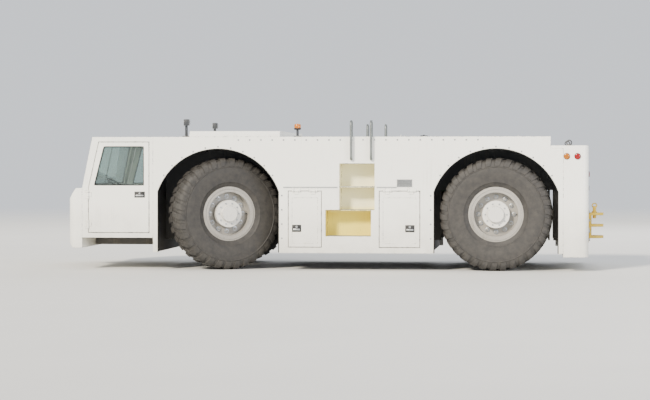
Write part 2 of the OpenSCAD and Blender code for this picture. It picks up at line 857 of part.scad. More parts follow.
// Engine hood, hinged along its rear edge
module engine_hood() color(white) {
    x0 = hood_x - hood_len + door_gap;
    x1 = hood_x - door_gap;
    w = hood_w/2 - door_gap;
    pitch = (hood_len - 2*louvre_in)/louvre_count;
    difference() {
        span([x0, -w, deck_z - hood_skirt], [x1, w, deck_z]);
        span([x0 + hood_t, -w + hood_t, deck_z - hood_skirt - 1], [x1 - hood_t, w - hood_t, deck_z - hood_t]);
        for (side = [LEFT, RIGHT], i = [0 : louvre_count - 1])
            translate([x0 + louvre_in + i*pitch, side*w/2, 0])
                span([0, -w*louvre_share/2, deck_z - hood_t - 1], [louvre_w, w*louvre_share/2, deck_z + 1]);
    }
    hood_hinges(true);
}

// Axles, knuckles, wheels

// Fork, tube and bowl of one axle
module axle(row) {
    dir = -rod_side(row);
    fork_half = knuckle_half + clear + fork_t;
    translate([axle_x(row), 0, hub_z]) {
        rotate([90, 0, 0]) cylinder(r = tube_r, h = 2*(king_y - fork_inner - fork_back/2), center = true);
        sphere(r = bowl_r, $fn = 96);
        // Pinion nose and propeller shaft towards the middle of the vehicle
        rotate([0, dir*90, 0]) {
            cylinder(r = pinion_r, h = bowl_r + pinion_reach);
            cylinder(r = shaft_r, h = pocket_half - wall_t - seat);
        }
        both_sides() {
            // Seat under the rail's leg
            span([-rail_leg/2 - pad_rim, rail_y - pad_rim, 0],
                 [rail_leg/2 + pad_rim, rail_y + rail_t + pad_rim, axle_pad - seat]);
            translate([0, king_y, 0]) {
                span([-fork_r - fork_rim, -fork_inner - fork_back, -fork_half],
                     [fork_r + fork_rim, -fork_inner, fork_half]);
                for (z = [-fork_half, fork_half - fork_t]) translate([0, 0, z]) fork_arm();
            }
        }
    }
}
// Pinion nose: radius and reach past the bowl
pinion_r = 130;
pinion_reach = 90;
// Rim of the pad under a rail's leg, and the fork's back: rim beside the arms and thickness
pad_rim = 15;
fork_rim = 20;
fork_back = 40;

module fork_arm() linear_extrude(fork_t) difference() {
    union() {
        circle(r = fork_r);
        rect([-fork_r, -fork_inner - 1], [fork_r, 0]);
    }
    circle(r = kingpin_r + fit);
}

module front_axle() color(frame_grey) axle(FRONT);
module rear_axle() color(frame_grey) axle(REAR);

// Reach of the spindle and of the kingpin past the fork, and of the eye's pin past the eye
spindle_tip = kingpin_inset + 90;
kingpin_end = 8;
rod_pin_end = 14;

module knuckle(row, side) at_corner(row, side) {
    cylinder(r = knuckle_r, h = 2*knuckle_half, center = true);
    cylinder(r = kingpin_r, h = 2*(knuckle_half + clear + fork_t + kingpin_end), center = true);
    rotate([-90, 0, 0]) cylinder(r = spindle_r, h = spindle_tip);
    // Steering arm and the pin of its eye
    dir = rod_side(row);
    translate([0, 0, -rod_r - rod_boss - arm_t]) {
        span([min(0, dir*arm_len), -eye_r, 0], [max(0, dir*arm_len), eye_r, arm_t]);
        translate([dir*arm_len, 0, 0]) {
            cylinder(r = eye_r, h = arm_t);
            cylinder(r = rod_pin_r, h = arm_t + 2*(rod_r + rod_boss) + rod_pin_end);
        }
    }
}

module knuckle_front_left() color(frame_grey) knuckle(FRONT, LEFT);
module knuckle_front_right() color(frame_grey) knuckle(FRONT, RIGHT);
module knuckle_rear_left() color(frame_grey) knuckle(REAR, LEFT);
module knuckle_rear_right() color(frame_grey) knuckle(REAR, RIGHT);

// A straight leg of the tie rod between two points of its plan, w wide
module leg(a, b, w) {
    d = b - a;
    translate(a) rotate(atan2(d[1], d[0])) translate([0, -w/2]) square([norm(d), w]);
}

// The tie rod's bend inboard of its eye's place, and the length of its slanting leg
crank_y = 500;
crank_run = 140;

// Plan of one half of a tie rod: straight past the rim, then cranked round the bowl
module rod_plan(crank) {
    bend = [0, king_y - crank_y];
    flat = [crank, king_y - crank_y - crank_run];
    leg([0, king_y - rod_r], bend, 2*rod_r);
    leg(bend, flat, 2*rod_r);
    leg(flat, [crank, -1], 2*rod_r);
    for (corner = [bend, flat]) translate(corner) circle(r = rod_r + rod_boss);
}

module tie_rod(row) {
    dir = rod_side(row);
    a = rest_angle(row);
    half = rod_r + rod_boss;
    translate([axle_x(row) + dir*arm_len*cos(a), dir*arm_len*sin(a), hub_z]) difference() {
        union() {
            translate([0, 0, -rod_r]) linear_extrude(2*rod_r) {
                rod_plan(dir*rod_crank);
                mirror([0, 1]) rod_plan(dir*rod_crank);
            }
            both_sides() translate([0, king_y, -half + seat]) cylinder(r = eye_r - 2, h = 2*half);
        }
        both_sides() translate([0, king_y, -half - 1]) cylinder(r = rod_pin_r + fit, h = 2*half + 3);
    }
}

module tie_rod_front() color(steel) tie_rod(FRONT);
module tie_rod_rear() color(steel) tie_rod(REAR);

// Rim: flange thickness, the disc's place, the hub drum's outer face, its cap, and the studs
flange_t = 20;
disc_y = 40;
hub_face = 170;
cap_r = 110;
cap_h = 45;
stud_r = 16;
stud_h = 25;

// Rim section: barrel, two flanges, disc and hub drum; x is the radius, y runs outboard
module rim_section() {
    inner = seat_r - rim_wall;
    rect([inner, -rim_w/2], [seat_r, rim_w/2]);
    for (y = [-rim_w/2, rim_w/2 - flange_t]) rect([inner, y], [rim_r, y + flange_t]);
    rect([hub_r - 40, disc_y], [inner + 1, disc_y + disc_t]);
    rect([spindle_r + fit, 5], [hub_r, hub_face - 20]);
    rect([0, spindle_tip - kingpin_inset + 8], [hub_r, hub_face]);
    rect([0, hub_face - 1], [cap_r, hub_face + cap_h]);
}

module rim(row, side) at_corner(row, side) on_hub() {
    rotate_extrude($fn = 96) rim_section();
    for (i = [0 : stud_count - 1]) rotate([0, 0, i*360/stud_count])
        translate([stud_circle, 0, disc_y + disc_t - 1]) cylinder(r = stud_r, h = stud_h + 1, $fn = 24);
}

// Tyre: the bead's rise over the rim's flange, the sidewall's, and how far it draws in
bead_rise = 60;
sidewall_rise = 75;
sidewall_in = 30;

// Tyre section: crown with rounded shoulders, sidewalls that draw in to the beads
module tyre_section() {
    half = tyre_w/2;
    bead = rim_w/2 - flange_t - seat;
    crown = tyre_r - shoulder_r;
    foot_r = rim_r + sidewall_rise;
    rect([seat_r + seat, -bead], [rim_r + seat + bead_rise, bead]);
    rect([rim_r + seat, -half + sidewall_in], [crown, half - sidewall_in]);
    rect([foot_r, -half], [crown, half]);
    rect([crown - 1, -half + shoulder_r], [tyre_r, half - shoulder_r]);
    for (y = [-half + shoulder_r, half - shoulder_r], r = [crown, foot_r])
        translate([r, y]) circle(r = shoulder_r);
}

module tyre(row, side) at_corner(row, side) on_hub()
    rotate_extrude($fn = 128) tyre_section();

module rim_front_left() color(rim_grey) rim(FRONT, LEFT);
module rim_front_right() color(rim_grey) rim(FRONT, RIGHT);
module rim_rear_left() color(rim_grey) rim(REAR, LEFT);
module rim_rear_right() color(rim_grey) rim(REAR, RIGHT);
module tyre_front_left() color(rubber) tyre(FRONT, LEFT);
module tyre_front_right() color(rubber) tyre(FRONT, RIGHT);
module tyre_rear_left() color(rubber) tyre(REAR, LEFT);
module tyre_rear_right() color(rubber) tyre(REAR, RIGHT);

// Lockers, steps, rails and posts

// Places of the hinges: from a locker door's ends, above the cab's floor, and below the screen's foot
hinge_in = 110;
door_hinge_low = 140;
door_hinge_high = 90;

module locker_hinges(row, moving) for (x = [locker_fore(row) - hinge_in, locker_aft(row) + hinge_in])
    translate([x, half_w + hinge_r, locker_top + door_gap/2]) rotate([0, -90, 0]) barrel_hinge(moving);

module cab_hinges(moving) for (z = [cab_floor_z + door_hinge_low, screen_foot_z - door_hinge_high])
    translate([screen_x - door_fore + door_gap/2, half_w + hinge_r, z]) barrel_hinge(moving);

module hood_hinges(moving) for (y = [-hood_w*0.35, 0, hood_w*0.35])
    translate([hood_x - hood_len + door_gap/2, y, deck_z + hinge_r])
        rotate([90, 0, 180]) barrel_hinge(moving);

// The locker doors' pressed panel: rim and depth
panel_in = 50;
panel_d = 4;

module locker_door(row) {
    difference() {
        side_view(skin_y + clear, half_w)
            rect([locker_aft(row), locker_bottom], [locker_fore(row), locker_top]);
        // Pressed panel, clear of the hinge leaves above it
        side_view(half_w - panel_d, half_w + 1)
            rect([locker_aft(row) + panel_in, locker_bottom + panel_in],
                 [locker_fore(row) - panel_in, locker_top - hinge_leaf - panel_in + 5]);
    }
    locker_hinges(row, true);
}

module locker_door_left_front() color(white) locker_door(LOCKERS[0]);
module locker_door_left_rear() color(white) locker_door(LOCKERS[1]);
module locker_door_right_front() color(white) mirror([0, 1, 0]) locker_door(LOCKERS[0]);
module locker_door_right_rear() color(white) mirror([0, 1, 0]) locker_door(LOCKERS[1]);

// Boxes of thin plate behind the locker doors, open to the side
module lockers() color(white) both_sides() for (row = LOCKERS) {
    t = locker_t;
    x0 = locker_aft(row) - door_gap;
    x1 = locker_fore(row) + door_gap;
    z0 = locker_bottom - door_gap;
    z1 = locker_top + door_gap;
    difference() {
        span([x0 - t, skin_y - locker_d, z0 - t], [x1 + t, skin_y, z1 + t]);
        span([x0, skin_y - locker_d + t, z0], [x1, skin_y + 1, z1]);
    }
}

// A box round a recess x0..x1, z0..z1 in the side, open to the side
module step_box(x0, x1, z0, z1, grow) {
    back = skin_y - step_d + step_t - grow;
    span([x0 - grow, back, z0 - grow], [x1 + grow, skin_y + (grow > 0 ? 0 : 1), z1 + grow]);
}

module step_boxes() color(step_yellow) both_sides() {
    shelf_z = step_z + step_h;
    low = [steps_x - step_w/2, steps_x + step_w/2];
    high = [column_x - column_w/2, column_x + column_w/2];
    difference() {
        union() {
            step_box(low[0], low[1], step_z, shelf_z, step_t);
            step_box(high[0], high[1], shelf_z, column_top, step_t);
        }
        step_box(low[0], low[1], step_z, shelf_z, 0);
        step_box(high[0], high[1], shelf_z - 1, column_top, 0);
    }
    // Treads
    rise = (column_top - shelf_z)/rung_count;
    for (i = [0 : rung_count - 1])
        span([high[0] - 1, skin_y - step_d + 1, shelf_z + i*rise - tread_t],
             [high[1] + 1, skin_y - 2, shelf_z + i*rise]);
}
tread_t = 10;

// Radius of the bend that leads a grab rail's foot into the side plate
grab_foot_r = 38;

// Quarter or half ring of tube in the YZ plane, from +Y towards +Z
module tube_bend(radius, angle)
    rotate([90, 0, 90]) rotate_extrude(angle = angle) translate([radius, 0]) circle(r = grab_r, $fn = 32);

// Grab rails beside the step column: an outer leg, a half ring over the deck's edge, an inner leg
module grab_rails() color(steel) both_sides() for (s = [-1, 1]) {
    top = deck_z + grab_top - grab_turn_r;
    low = grab_low + grab_foot_r;
    y = half_w + grab_off;
    translate([grab_x + s*grab_gap/2, 0, 0]) {
        translate([0, y, low]) cylinder(r = grab_r, h = top - low);
        translate([0, y - grab_foot_r, low]) rotate([-90, 0, 0]) tube_bend(grab_foot_r, 90);
        translate([0, half_w + seat, grab_low]) rotate([-90, 0, 0])
            cylinder(r = grab_r, h = grab_off - grab_foot_r - seat);
        translate([0, y - grab_turn_r, top]) tube_bend(grab_turn_r, 180);
        translate([0, y - 2*grab_turn_r, deck_z + seat]) cylinder(r = grab_r, h = top - deck_z - seat);
    }
}

// Foot plate of a post; radii of the work lamp's foot and post, and the lamp over the post's end
foot_plate = 12;
lamp_post = [60, 25];
work_lamp = [90, 120, 90];
work_lamp_low = 20;
// Radii of the beacon's foot and post, height of its post, and the beacon
beacon_post = [55, 18];
beacon_post_h = 105;
beacon_r = 50;
beacon_h = 80;

// A post on a round foot
module post(radii, h) {
    cylinder(r = radii[0], h = foot_plate);
    cylinder(r = radii[1], h = h);
}

// Work lamp posts behind the cab and the warning beacon behind the front cover
module deck_posts() color(frame_grey) {
    both_sides() translate([front_x + post_fore, half_w - post_in, deck_z + seat]) {
        post(lamp_post, post_h);
        translate([-work_lamp[0]/2, -work_lamp[1]/2, post_h - work_lamp_low]) cube(work_lamp);
    }
    translate([front_x - beacon_aft, half_w - post_in, deck_z + seat]) {
        post(beacon_post, beacon_post_h + 1);
        translate([0, 0, beacon_post_h]) cylinder(r = beacon_r, h = beacon_h);
    }
}

frame_rails();
bay_walls();
cross_members();
side_plate_left();
side_plate_right();
deck();
front_cover();
rear_block();
nose();
front_hitch();
rear_hitch();
cab_shell();
cab_glass();
dashboard();
steering_wheel();
seats();
engine_block();
radiator();
front_axle();
rear_axle();
lockers();
step_boxes();
grab_rails();
deck_posts();
lamps();
cab_door_left();
cab_door_right();
door_glass_left();
door_glass_right();
engine_hood();
locker_door_left_front();
locker_door_left_rear();
locker_door_right_front();
locker_door_right_rear();
knuckle_front_left();
knuckle_front_right();
knuckle_rear_left();
knuckle_rear_right();
tie_rod_front();
tie_rod_rear();
rim_front_left();
rim_front_right();
rim_rear_left();
rim_rear_right();
tyre_front_left();
tyre_front_right();
tyre_rear_left();
tyre_rear_right();
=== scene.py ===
# %% [markdown]
# # A low pushback tractor
#
# This notebook dresses a finished CAD model of a low airport tractor: white enamel over plate steel, four
# big tyres, a glazed cab across the front, a flat deck. The CAD model arrives as a fixed frame of named
# nodes, in metres, +X forward and +Z up. Nothing here moves or resizes it. We only give it finishes, swap
# the plain tyres, seats, lamps and engine for modelled ones, and add the small things that a body shop
# would bolt on.

# %% The frame
import json
import math

import bmesh
import bpy
from mathutils import Matrix, Vector
from mathutils.geometry import convex_hull_2d


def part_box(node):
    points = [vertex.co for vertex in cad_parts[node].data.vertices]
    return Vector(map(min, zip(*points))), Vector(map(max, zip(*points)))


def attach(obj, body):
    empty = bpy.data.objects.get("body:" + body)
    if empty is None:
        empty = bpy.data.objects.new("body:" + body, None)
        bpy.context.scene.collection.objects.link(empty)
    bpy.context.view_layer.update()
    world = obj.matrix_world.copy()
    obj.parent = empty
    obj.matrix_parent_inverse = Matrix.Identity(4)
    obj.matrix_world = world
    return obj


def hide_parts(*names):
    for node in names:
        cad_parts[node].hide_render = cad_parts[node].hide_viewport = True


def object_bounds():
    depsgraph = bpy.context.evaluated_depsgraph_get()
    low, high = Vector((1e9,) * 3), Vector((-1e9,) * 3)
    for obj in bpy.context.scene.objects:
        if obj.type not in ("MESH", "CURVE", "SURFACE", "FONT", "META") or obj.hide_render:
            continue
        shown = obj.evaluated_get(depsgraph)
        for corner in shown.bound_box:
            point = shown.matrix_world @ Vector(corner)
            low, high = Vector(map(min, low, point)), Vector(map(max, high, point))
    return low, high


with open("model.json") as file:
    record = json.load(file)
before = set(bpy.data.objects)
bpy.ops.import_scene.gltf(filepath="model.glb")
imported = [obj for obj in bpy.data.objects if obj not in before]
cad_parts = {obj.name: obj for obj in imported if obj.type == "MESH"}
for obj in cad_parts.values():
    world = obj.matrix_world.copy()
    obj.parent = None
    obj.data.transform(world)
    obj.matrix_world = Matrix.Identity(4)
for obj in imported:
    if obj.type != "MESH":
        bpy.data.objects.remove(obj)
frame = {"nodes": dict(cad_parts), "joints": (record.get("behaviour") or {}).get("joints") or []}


def put(name, data):
    """An object in the scene that holds the given data."""
    made = bpy.data.objects.new(name, data)
    bpy.context.scene.collection.objects.link(made)
    return made


nodes = frame["nodes"]
cad_box = [list(corner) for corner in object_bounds()]
print("nodes:", len(nodes), "CAD box:", cad_box)

# %% [markdown]
# ## Where things are
#
# Every place is read from the CAD nodes, so a piece follows the model if a size changes. A node's box
# gives its lowest and highest corner; a joint gives a point on its axis. These few numbers are used all
# through the script.

# %% Driving places
joints = {joint["name"]: joint for joint in frame["joints"]}
plate_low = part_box("side_plate_left")[0]
deck_low, deck_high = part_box("deck")
deck_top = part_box("cab_shell")[1].z
half_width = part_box("nose")[1].y
nose_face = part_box("nose")[1].x
tail_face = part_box("rear_block")[0].x
tyre_low, tyre_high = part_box("tyre_rear_left")
tyre_radius = (tyre_high.z - tyre_low.z) / 2
tyre_half = (tyre_high.y - tyre_low.y) / 2
front_axle_x = joints["steer_front_left"]["pos_m"][0]
rear_axle_x = joints["steer_rear_left"]["pos_m"][0]
SIDES = ((1, "left"), (-1, "right"))  # the sign of Y on each side, and the side's name
print("deck at", round(deck_top, 3), "axles at", front_axle_x, rear_axle_x, "tyre", round(tyre_radius, 3))

# %% [markdown]
# ## The camera
#
# The photograph was taken from about 28 m away, at eye height, square to the tractor's left side and a
# little towards its tail. We stand the camera there. A longer lens than the photographer's brings the
# tractor closer without changing how its sides and wheels overlap, because perspective depends only on
# where the camera stands.

# %% Camera
EYE_HEIGHT = 1.5  # metres above the ground, from the horizon's height in the photograph
EYE_DISTANCE = 28.0  # metres from the side plate
EYE_BEHIND = 2.9  # metres that the camera stands towards the tail from the tractor's middle
AIM_HEIGHT = 0.93  # share of the tractor's middle height that the camera looks at
FILL = 0.86  # share of the picture's width that the tractor takes
SENSOR_WIDTH = 36.0  # millimetres
SIGHT = 300.0  # metres beyond which the camera sees nothing

middle = (Vector(cad_box[0]) + Vector(cad_box[1])) / 2
eye = Vector((middle.x - EYE_BEHIND, half_width + EYE_DISTANCE, EYE_HEIGHT))
look_at = Vector((middle.x, half_width, middle.z * AIM_HEIGHT))
length = cad_box[1][0] - cad_box[0][0]

camera_data = bpy.data.cameras.new("camera")
camera_data.sensor_width = SENSOR_WIDTH
camera_data.lens = SENSOR_WIDTH * FILL * (look_at - eye).length / length
camera_data.clip_end = SIGHT
camera = put("camera", camera_data)
camera.location = eye
camera.rotation_euler = (look_at - eye).to_track_quat("-Z", "Y").to_euler()
bpy.context.scene.camera = camera
print("lens:", round(camera_data.lens, 1), "mm")

# %% [markdown]
# ## Two helpers for node trees
#
# A shader or geometry tree is a list of nodes with values and wires. One small function adds a node and
# takes both: what is given as a socket becomes a wire, anything else becomes the socket's own value.
# Colours are written as sRGB hex, as in a paint chart, and turned to the linear values that the renderer
# works in.

# %% Node and colour helpers
def add(tree, kind, inputs=None, **settings):
    """Adds one node: settings are its properties, inputs its values or the sockets that feed them."""
    made = tree.nodes.new(kind)
    for name, value in settings.items():
        setattr(made, name, value)
    for socket, value in (inputs or {}).items():
        if isinstance(value, bpy.types.NodeSocket):
            tree.links.new(value, made.inputs[socket])
        else:
            made.inputs[socket].default_value = value
    return made


def paint(hex_code):
    """A linear RGBA colour from an sRGB hex code."""
    parts = [int(hex_code[i:i + 2], 16) / 255 for i in (1, 3, 5)]
    linear = [c / 12.92 if c <= 0.04045 else ((c + 0.055) / 1.055) ** 2.4 for c in parts]
    return (*linear, 1.0)


# %% [markdown]
# ## How a finish is built
#
# Each finish starts as one Principled shader with its plain values on its own sockets. Patterns read
# Object coordinates, which here are real metres in the tractor's frame, so a scale of 40 means a grain of
# about 25 mm.

# %% Starting a finish
def start_finish(name, **values):
    """A material with one Principled shader. Gives the material, its tree, the shader and the place."""
    material = bpy.data.materials.new(name)
    material.use_nodes = True
    tree = material.node_tree
    tree.nodes.clear()
    sockets = {key.replace("_", " "): value for key, value in values.items()}
    shader = add(tree, "ShaderNodeBsdfPrincipled", sockets)
    add(tree, "ShaderNodeOutputMaterial", {"Surface": shader.outputs[0]})
    place = add(tree, "ShaderNodeTexCoord").outputs["Object"]
    return material, tree, shader, place


def relief(tree, shader, height, depth, strength, edge=0.0):
    """Bump on a shader: height is a socket from 0 to 1, depth the real depth in metres. edge is the radius
    to which sharp edges are rounded for the light, as every brushed and sprayed edge is."""
    sockets = {"Height": height, "Distance": depth, "Strength": strength}
    if edge:
        sockets["Normal"] = add(tree, "ShaderNodeBevel", {"Radius": edge}, samples=4).outputs[0]
    bump = add(tree, "ShaderNodeBump", sockets)
    tree.links.new(bump.outputs[0], shader.inputs["Normal"])


# %% [markdown]
# ## Dirt from the ground
#
# A tractor that lives on an apron is cleanest on its deck's edge and dirtiest at its skirts: spray and
# rubber dust climb from the ground, rain pulls streaks down the sides. One function makes that mask, from
# 0 for clean to 1 for dirty, out of the height above the ground, a cloudy noise and a noise stretched
# along Z.

# %% Dirt mask
def ground_dirt(tree, place, reach, amount):
    """A mask that is strongest at the ground and gone at reach metres; amount scales the streaks."""
    height = add(tree, "ShaderNodeSeparateXYZ", {0: place}).outputs["Z"]
    low = add(tree, "ShaderNodeMapRange", {"Value": height, "From Min": 0.1, "From Max": reach,
                                           "To Min": 0.85, "To Max": 0.0}).outputs[0]
    clouds = add(tree, "ShaderNodeTexNoise", {"Vector": place, "Scale": 2.4, "Detail": 6.0,
                                              "Roughness": 0.62}).outputs[0]
    stretched = add(tree, "ShaderNodeMapping", {"Vector": place, "Scale": (34.0, 34.0, 1.6)}).outputs[0]
    streaks = add(tree, "ShaderNodeTexNoise", {"Vector": stretched, "Scale": 1.0, "Detail": 4.0,
                                               "Roughness": 0.55}).outputs[0]
    streaks = add(tree, "ShaderNodeMath", {0: streaks, 1: clouds}, operation="MULTIPLY").outputs[0]
    streaks = add(tree, "ShaderNodeMapRange", {"Value": streaks, "From Min": 0.30, "From Max": 0.50,
                                               "To Min": 0.0, "To Max": amount}).outputs[0]
    skirts = add(tree, "ShaderNodeMath", {0: low, 1: clouds}, operation="MULTIPLY").outputs[0]
    return add(tree, "ShaderNodeMath", {0: skirts, 1: streaks}, operation="ADD", use_clamp=True).outputs[0]


# %% [markdown]
# ## Worn edges
#
# Paint is thinnest on an edge and is knocked there first. A bevel node gives the normal that the surface
# would have if its edges were rounded: where that differs from the real normal there is an edge, and a
# noise decides which stretches of it have lost their paint.

# %% Edge mask
def worn_edges(tree, place, reach, share):
    """A mask of the edges, reach metres wide, of which about the given share is worn."""
    rounded = add(tree, "ShaderNodeBevel", {"Radius": reach}, samples=6).outputs[0]
    plain = add(tree, "ShaderNodeNewGeometry").outputs["Normal"]
    alike = add(tree, "ShaderNodeVectorMath", {0: rounded, 1: plain},
                operation="DOT_PRODUCT").outputs["Value"]
    near_edge = add(tree, "ShaderNodeMapRange", {"Value": alike, "From Min": 0.965,
                                                 "From Max": 0.87}).outputs[0]
    knocks = add(tree, "ShaderNodeTexNoise", {"Vector": place, "Scale": 15.0, "Detail": 9.0,
                                              "Roughness": 0.72}).outputs[0]
    knocked = add(tree, "ShaderNodeMapRange", {"Value": knocks, "From Min": 0.60 - 0.22 * share,
                                               "From Max": 0.64 - 0.22 * share}).outputs[0]
    return add(tree, "ShaderNodeMath", {0: near_edge, 1: knocked}, operation="MULTIPLY").outputs[0]


# %% [markdown]
# ## White enamel
#
# The body is brake-formed plate steel in two-pack white enamel, sprayed and then left in the sun. It is
# smooth and a little glossy where it is clean, dull where dirt sits. Sprayed paint is never flat: a faint
# orange peel and the slow waves of hand-finished plate bend its reflections. Small chips and worn edges
# show the grey primer.

# %% White enamel
CLEAN_WHITE, GROUND_DUST, PRIMER_GREY = "#FBFAF1", "#8C8373", "#74777A"


def white_enamel():
    material, tree, shader, place = start_finish("white_enamel", IOR=1.5, Coat_Weight=0.25,
                                                 Coat_Roughness=0.18)
    dirt = ground_dirt(tree, place, reach=0.95, amount=0.16)
    colour = add(tree, "ShaderNodeMix", {0: dirt, 6: paint(CLEAN_WHITE), 7: paint(GROUND_DUST)},
                 data_type="RGBA").outputs[2]
    flakes = add(tree, "ShaderNodeTexNoise", {"Vector": place, "Scale": 21.0, "Detail": 9.0,
                                              "Roughness": 0.75}).outputs[0]
    chips = add(tree, "ShaderNodeMapRange", {"Value": flakes, "From Min": 0.71, "From Max": 0.73}).outputs[0]
    bare = add(tree, "ShaderNodeMath", {0: chips, 1: worn_edges(tree, place, 0.012, 0.40)},
               operation="MAXIMUM").outputs[0]
    colour = add(tree, "ShaderNodeMix", {0: bare, 6: colour, 7: paint(PRIMER_GREY)},
                 data_type="RGBA").outputs[2]
    tree.links.new(colour, shader.inputs["Base Color"])
    dull = add(tree, "ShaderNodeMapRange", {"Value": dirt, "To Min": 0.34, "To Max": 0.78}).outputs[0]
    tree.links.new(dull, shader.inputs["Roughness"])
    peel = add(tree, "ShaderNodeTexNoise", {"Vector": place, "Scale": 260.0, "Detail": 2.0}).outputs[0]
    waves = add(tree, "ShaderNodeTexNoise", {"Vector": place, "Scale": 3.1, "Detail": 1.0}).outputs[0]
    both = add(tree, "ShaderNodeMath", {0: peel, 1: 0.03, 2: waves}, operation="MULTIPLY_ADD").outputs[0]
    relief(tree, shader, both, 0.0022, 0.35, edge=0.006)
    return material


# %% [markdown]
# ## The other paints
#
# Chassis paint is a satin black-grey that hides dirt and shows dust. Safety yellow is a brighter enamel,
# smooth on the tow jaws and with sand thrown into it on the steps. On the step boxes it turns pale high up:
# partly paint that the sun has bleached, partly painted light that makes the upper boxes look brightly lit.
# Wheel enamel is a mid grey with brake dust in its corners, and only the hub's cover is white. They share
# one recipe, because they are the same kind of coating: a colour, a dirt colour, a reach for the dirt and a
# grit.

# %% Plain enamels
PALE_LIT_LOW, PALE_LIT_HIGH = 0.80, 0.90  # metres: the paint is fresh below the first; above the second it is pale, partly sun-bleached and partly painted light
BLEACHED_AND_LIT_SHARE = 0.85  # how far the colour turns pale above the second: sun bleaching and painted light together


def enamel(name, colour, dust, reach, gloss, grit=0.0, bleached_and_lit=None, under="#6B6A66"):
    """A sprayed enamel: gloss is its clean roughness, grit the depth in metres of the sand thrown into it,
    bleached_and_lit the pale colour high up, partly sun-bleached paint and partly painted light, and under
    what an edge shows without its paint."""
    material, tree, shader, place = start_finish(name, IOR=1.5)
    dirt = ground_dirt(tree, place, reach=reach, amount=0.5)
    mixed = add(tree, "ShaderNodeMix", {0: dirt, 6: paint(colour), 7: paint(dust)},
                data_type="RGBA").outputs[2]
    worn = add(tree, "ShaderNodeTexNoise", {"Vector": place, "Scale": 30.0, "Detail": 8.0,
                                            "Roughness": 0.7}).outputs[0]
    worn = add(tree, "ShaderNodeMapRange", {"Value": worn, "From Min": 0.6, "From Max": 0.72,
                                            "To Max": 0.5}).outputs[0]
    mixed = add(tree, "ShaderNodeMix", {0: worn, 6: mixed, 7: paint(dust)}, data_type="RGBA").outputs[2]
    # Painted light together with sun bleaching: above a height the colour turns pale, so the upper step boxes
    # look brightly lit.
    if bleached_and_lit:
        height = add(tree, "ShaderNodeSeparateXYZ", {0: place}).outputs["Z"]
        share = add(tree, "ShaderNodeMapRange", {"Value": height, "From Min": PALE_LIT_LOW,
                                                 "From Max": PALE_LIT_HIGH,
                                                 "To Max": BLEACHED_AND_LIT_SHARE}).outputs[0]
        mixed = add(tree, "ShaderNodeMix", {0: share, 6: mixed, 7: paint(bleached_and_lit)},
                    data_type="RGBA").outputs[2]
    mixed = add(tree, "ShaderNodeMix", {0: worn_edges(tree, place, 0.014, 0.65), 6: mixed, 7: paint(under)},
                data_type="RGBA").outputs[2]
    tree.links.new(mixed, shader.inputs["Base Color"])
    dull = add(tree, "ShaderNodeMapRange", {"Value": dirt, "To Min": gloss, "To Max": 0.85}).outputs[0]
    tree.links.new(dull, shader.inputs["Roughness"])
    sand = add(tree, "ShaderNodeTexVoronoi", {"Vector": place, "Scale": 190.0 if grit else 90.0}).outputs[0]
    relief(tree, shader, sand, grit or 0.0008, 0.8 if grit else 0.35, edge=0.004)
    return material


# %% [markdown]
# ## Rubber, metal, plastic and glass
#
# Tyre rubber is carbon black, browned by dust and with a matt, slightly open surface. Safety glass has a
# pale green-grey tint in its thickness. Lamp lenses are clear or dyed polycarbonate. Zinc-plated steel
# has a fine crystalline bloom. Vinyl and moulded plastic get their sheen from a pressed grain.

# %% Tyre rubber
def tyre_rubber():
    material, tree, shader, place = start_finish("tyre_rubber", IOR=1.52)
    dust = add(tree, "ShaderNodeTexNoise", {"Vector": place, "Scale": 13.0, "Detail": 9.0,
                                            "Roughness": 0.72}).outputs[0]
    dust = add(tree, "ShaderNodeMapRange", {"Value": dust, "From Min": 0.38, "From Max": 0.74,
                                            "To Min": 0.06, "To Max": 0.42}).outputs[0]
    colour = add(tree, "ShaderNodeMix", {0: dust, 6: paint("#242322"), 7: paint("#5E5952")},
                 data_type="RGBA").outputs[2]
    tree.links.new(colour, shader.inputs["Base Color"])
    rough = add(tree, "ShaderNodeMapRange", {"Value": dust, "To Min": 0.62, "To Max": 0.95}).outputs[0]
    tree.links.new(rough, shader.inputs["Roughness"])
    pores = add(tree, "ShaderNodeTexNoise", {"Vector": place, "Scale": 160.0, "Detail": 4.0}).outputs[0]
    relief(tree, shader, pores, 0.0015, 0.5)
    return material


# %% Metals
def bare_metal(name, colour, stain, rough):
    """Plated or cast metal: a metal's colour with stains that are duller than it."""
    material, tree, shader, place = start_finish(name, Metallic=1.0)
    bloom = add(tree, "ShaderNodeTexVoronoi", {"Vector": place, "Scale": 55.0}).outputs[0]
    clouds = add(tree, "ShaderNodeTexNoise", {"Vector": place, "Scale": 9.0, "Detail": 7.0}).outputs[0]
    stained = add(tree, "ShaderNodeMath", {0: bloom, 1: clouds}, operation="MULTIPLY").outputs[0]
    mixed = add(tree, "ShaderNodeMix", {0: stained, 6: paint(colour), 7: paint(stain)},
                data_type="RGBA").outputs[2]
    tree.links.new(mixed, shader.inputs["Base Color"])
    dull = add(tree, "ShaderNodeMapRange", {"Value": clouds, "To Min": rough - 0.1,
                                            "To Max": rough + 0.25}).outputs[0]
    tree.links.new(dull, shader.inputs["Roughness"])
    relief(tree, shader, clouds, 0.001, 0.4)
    return material


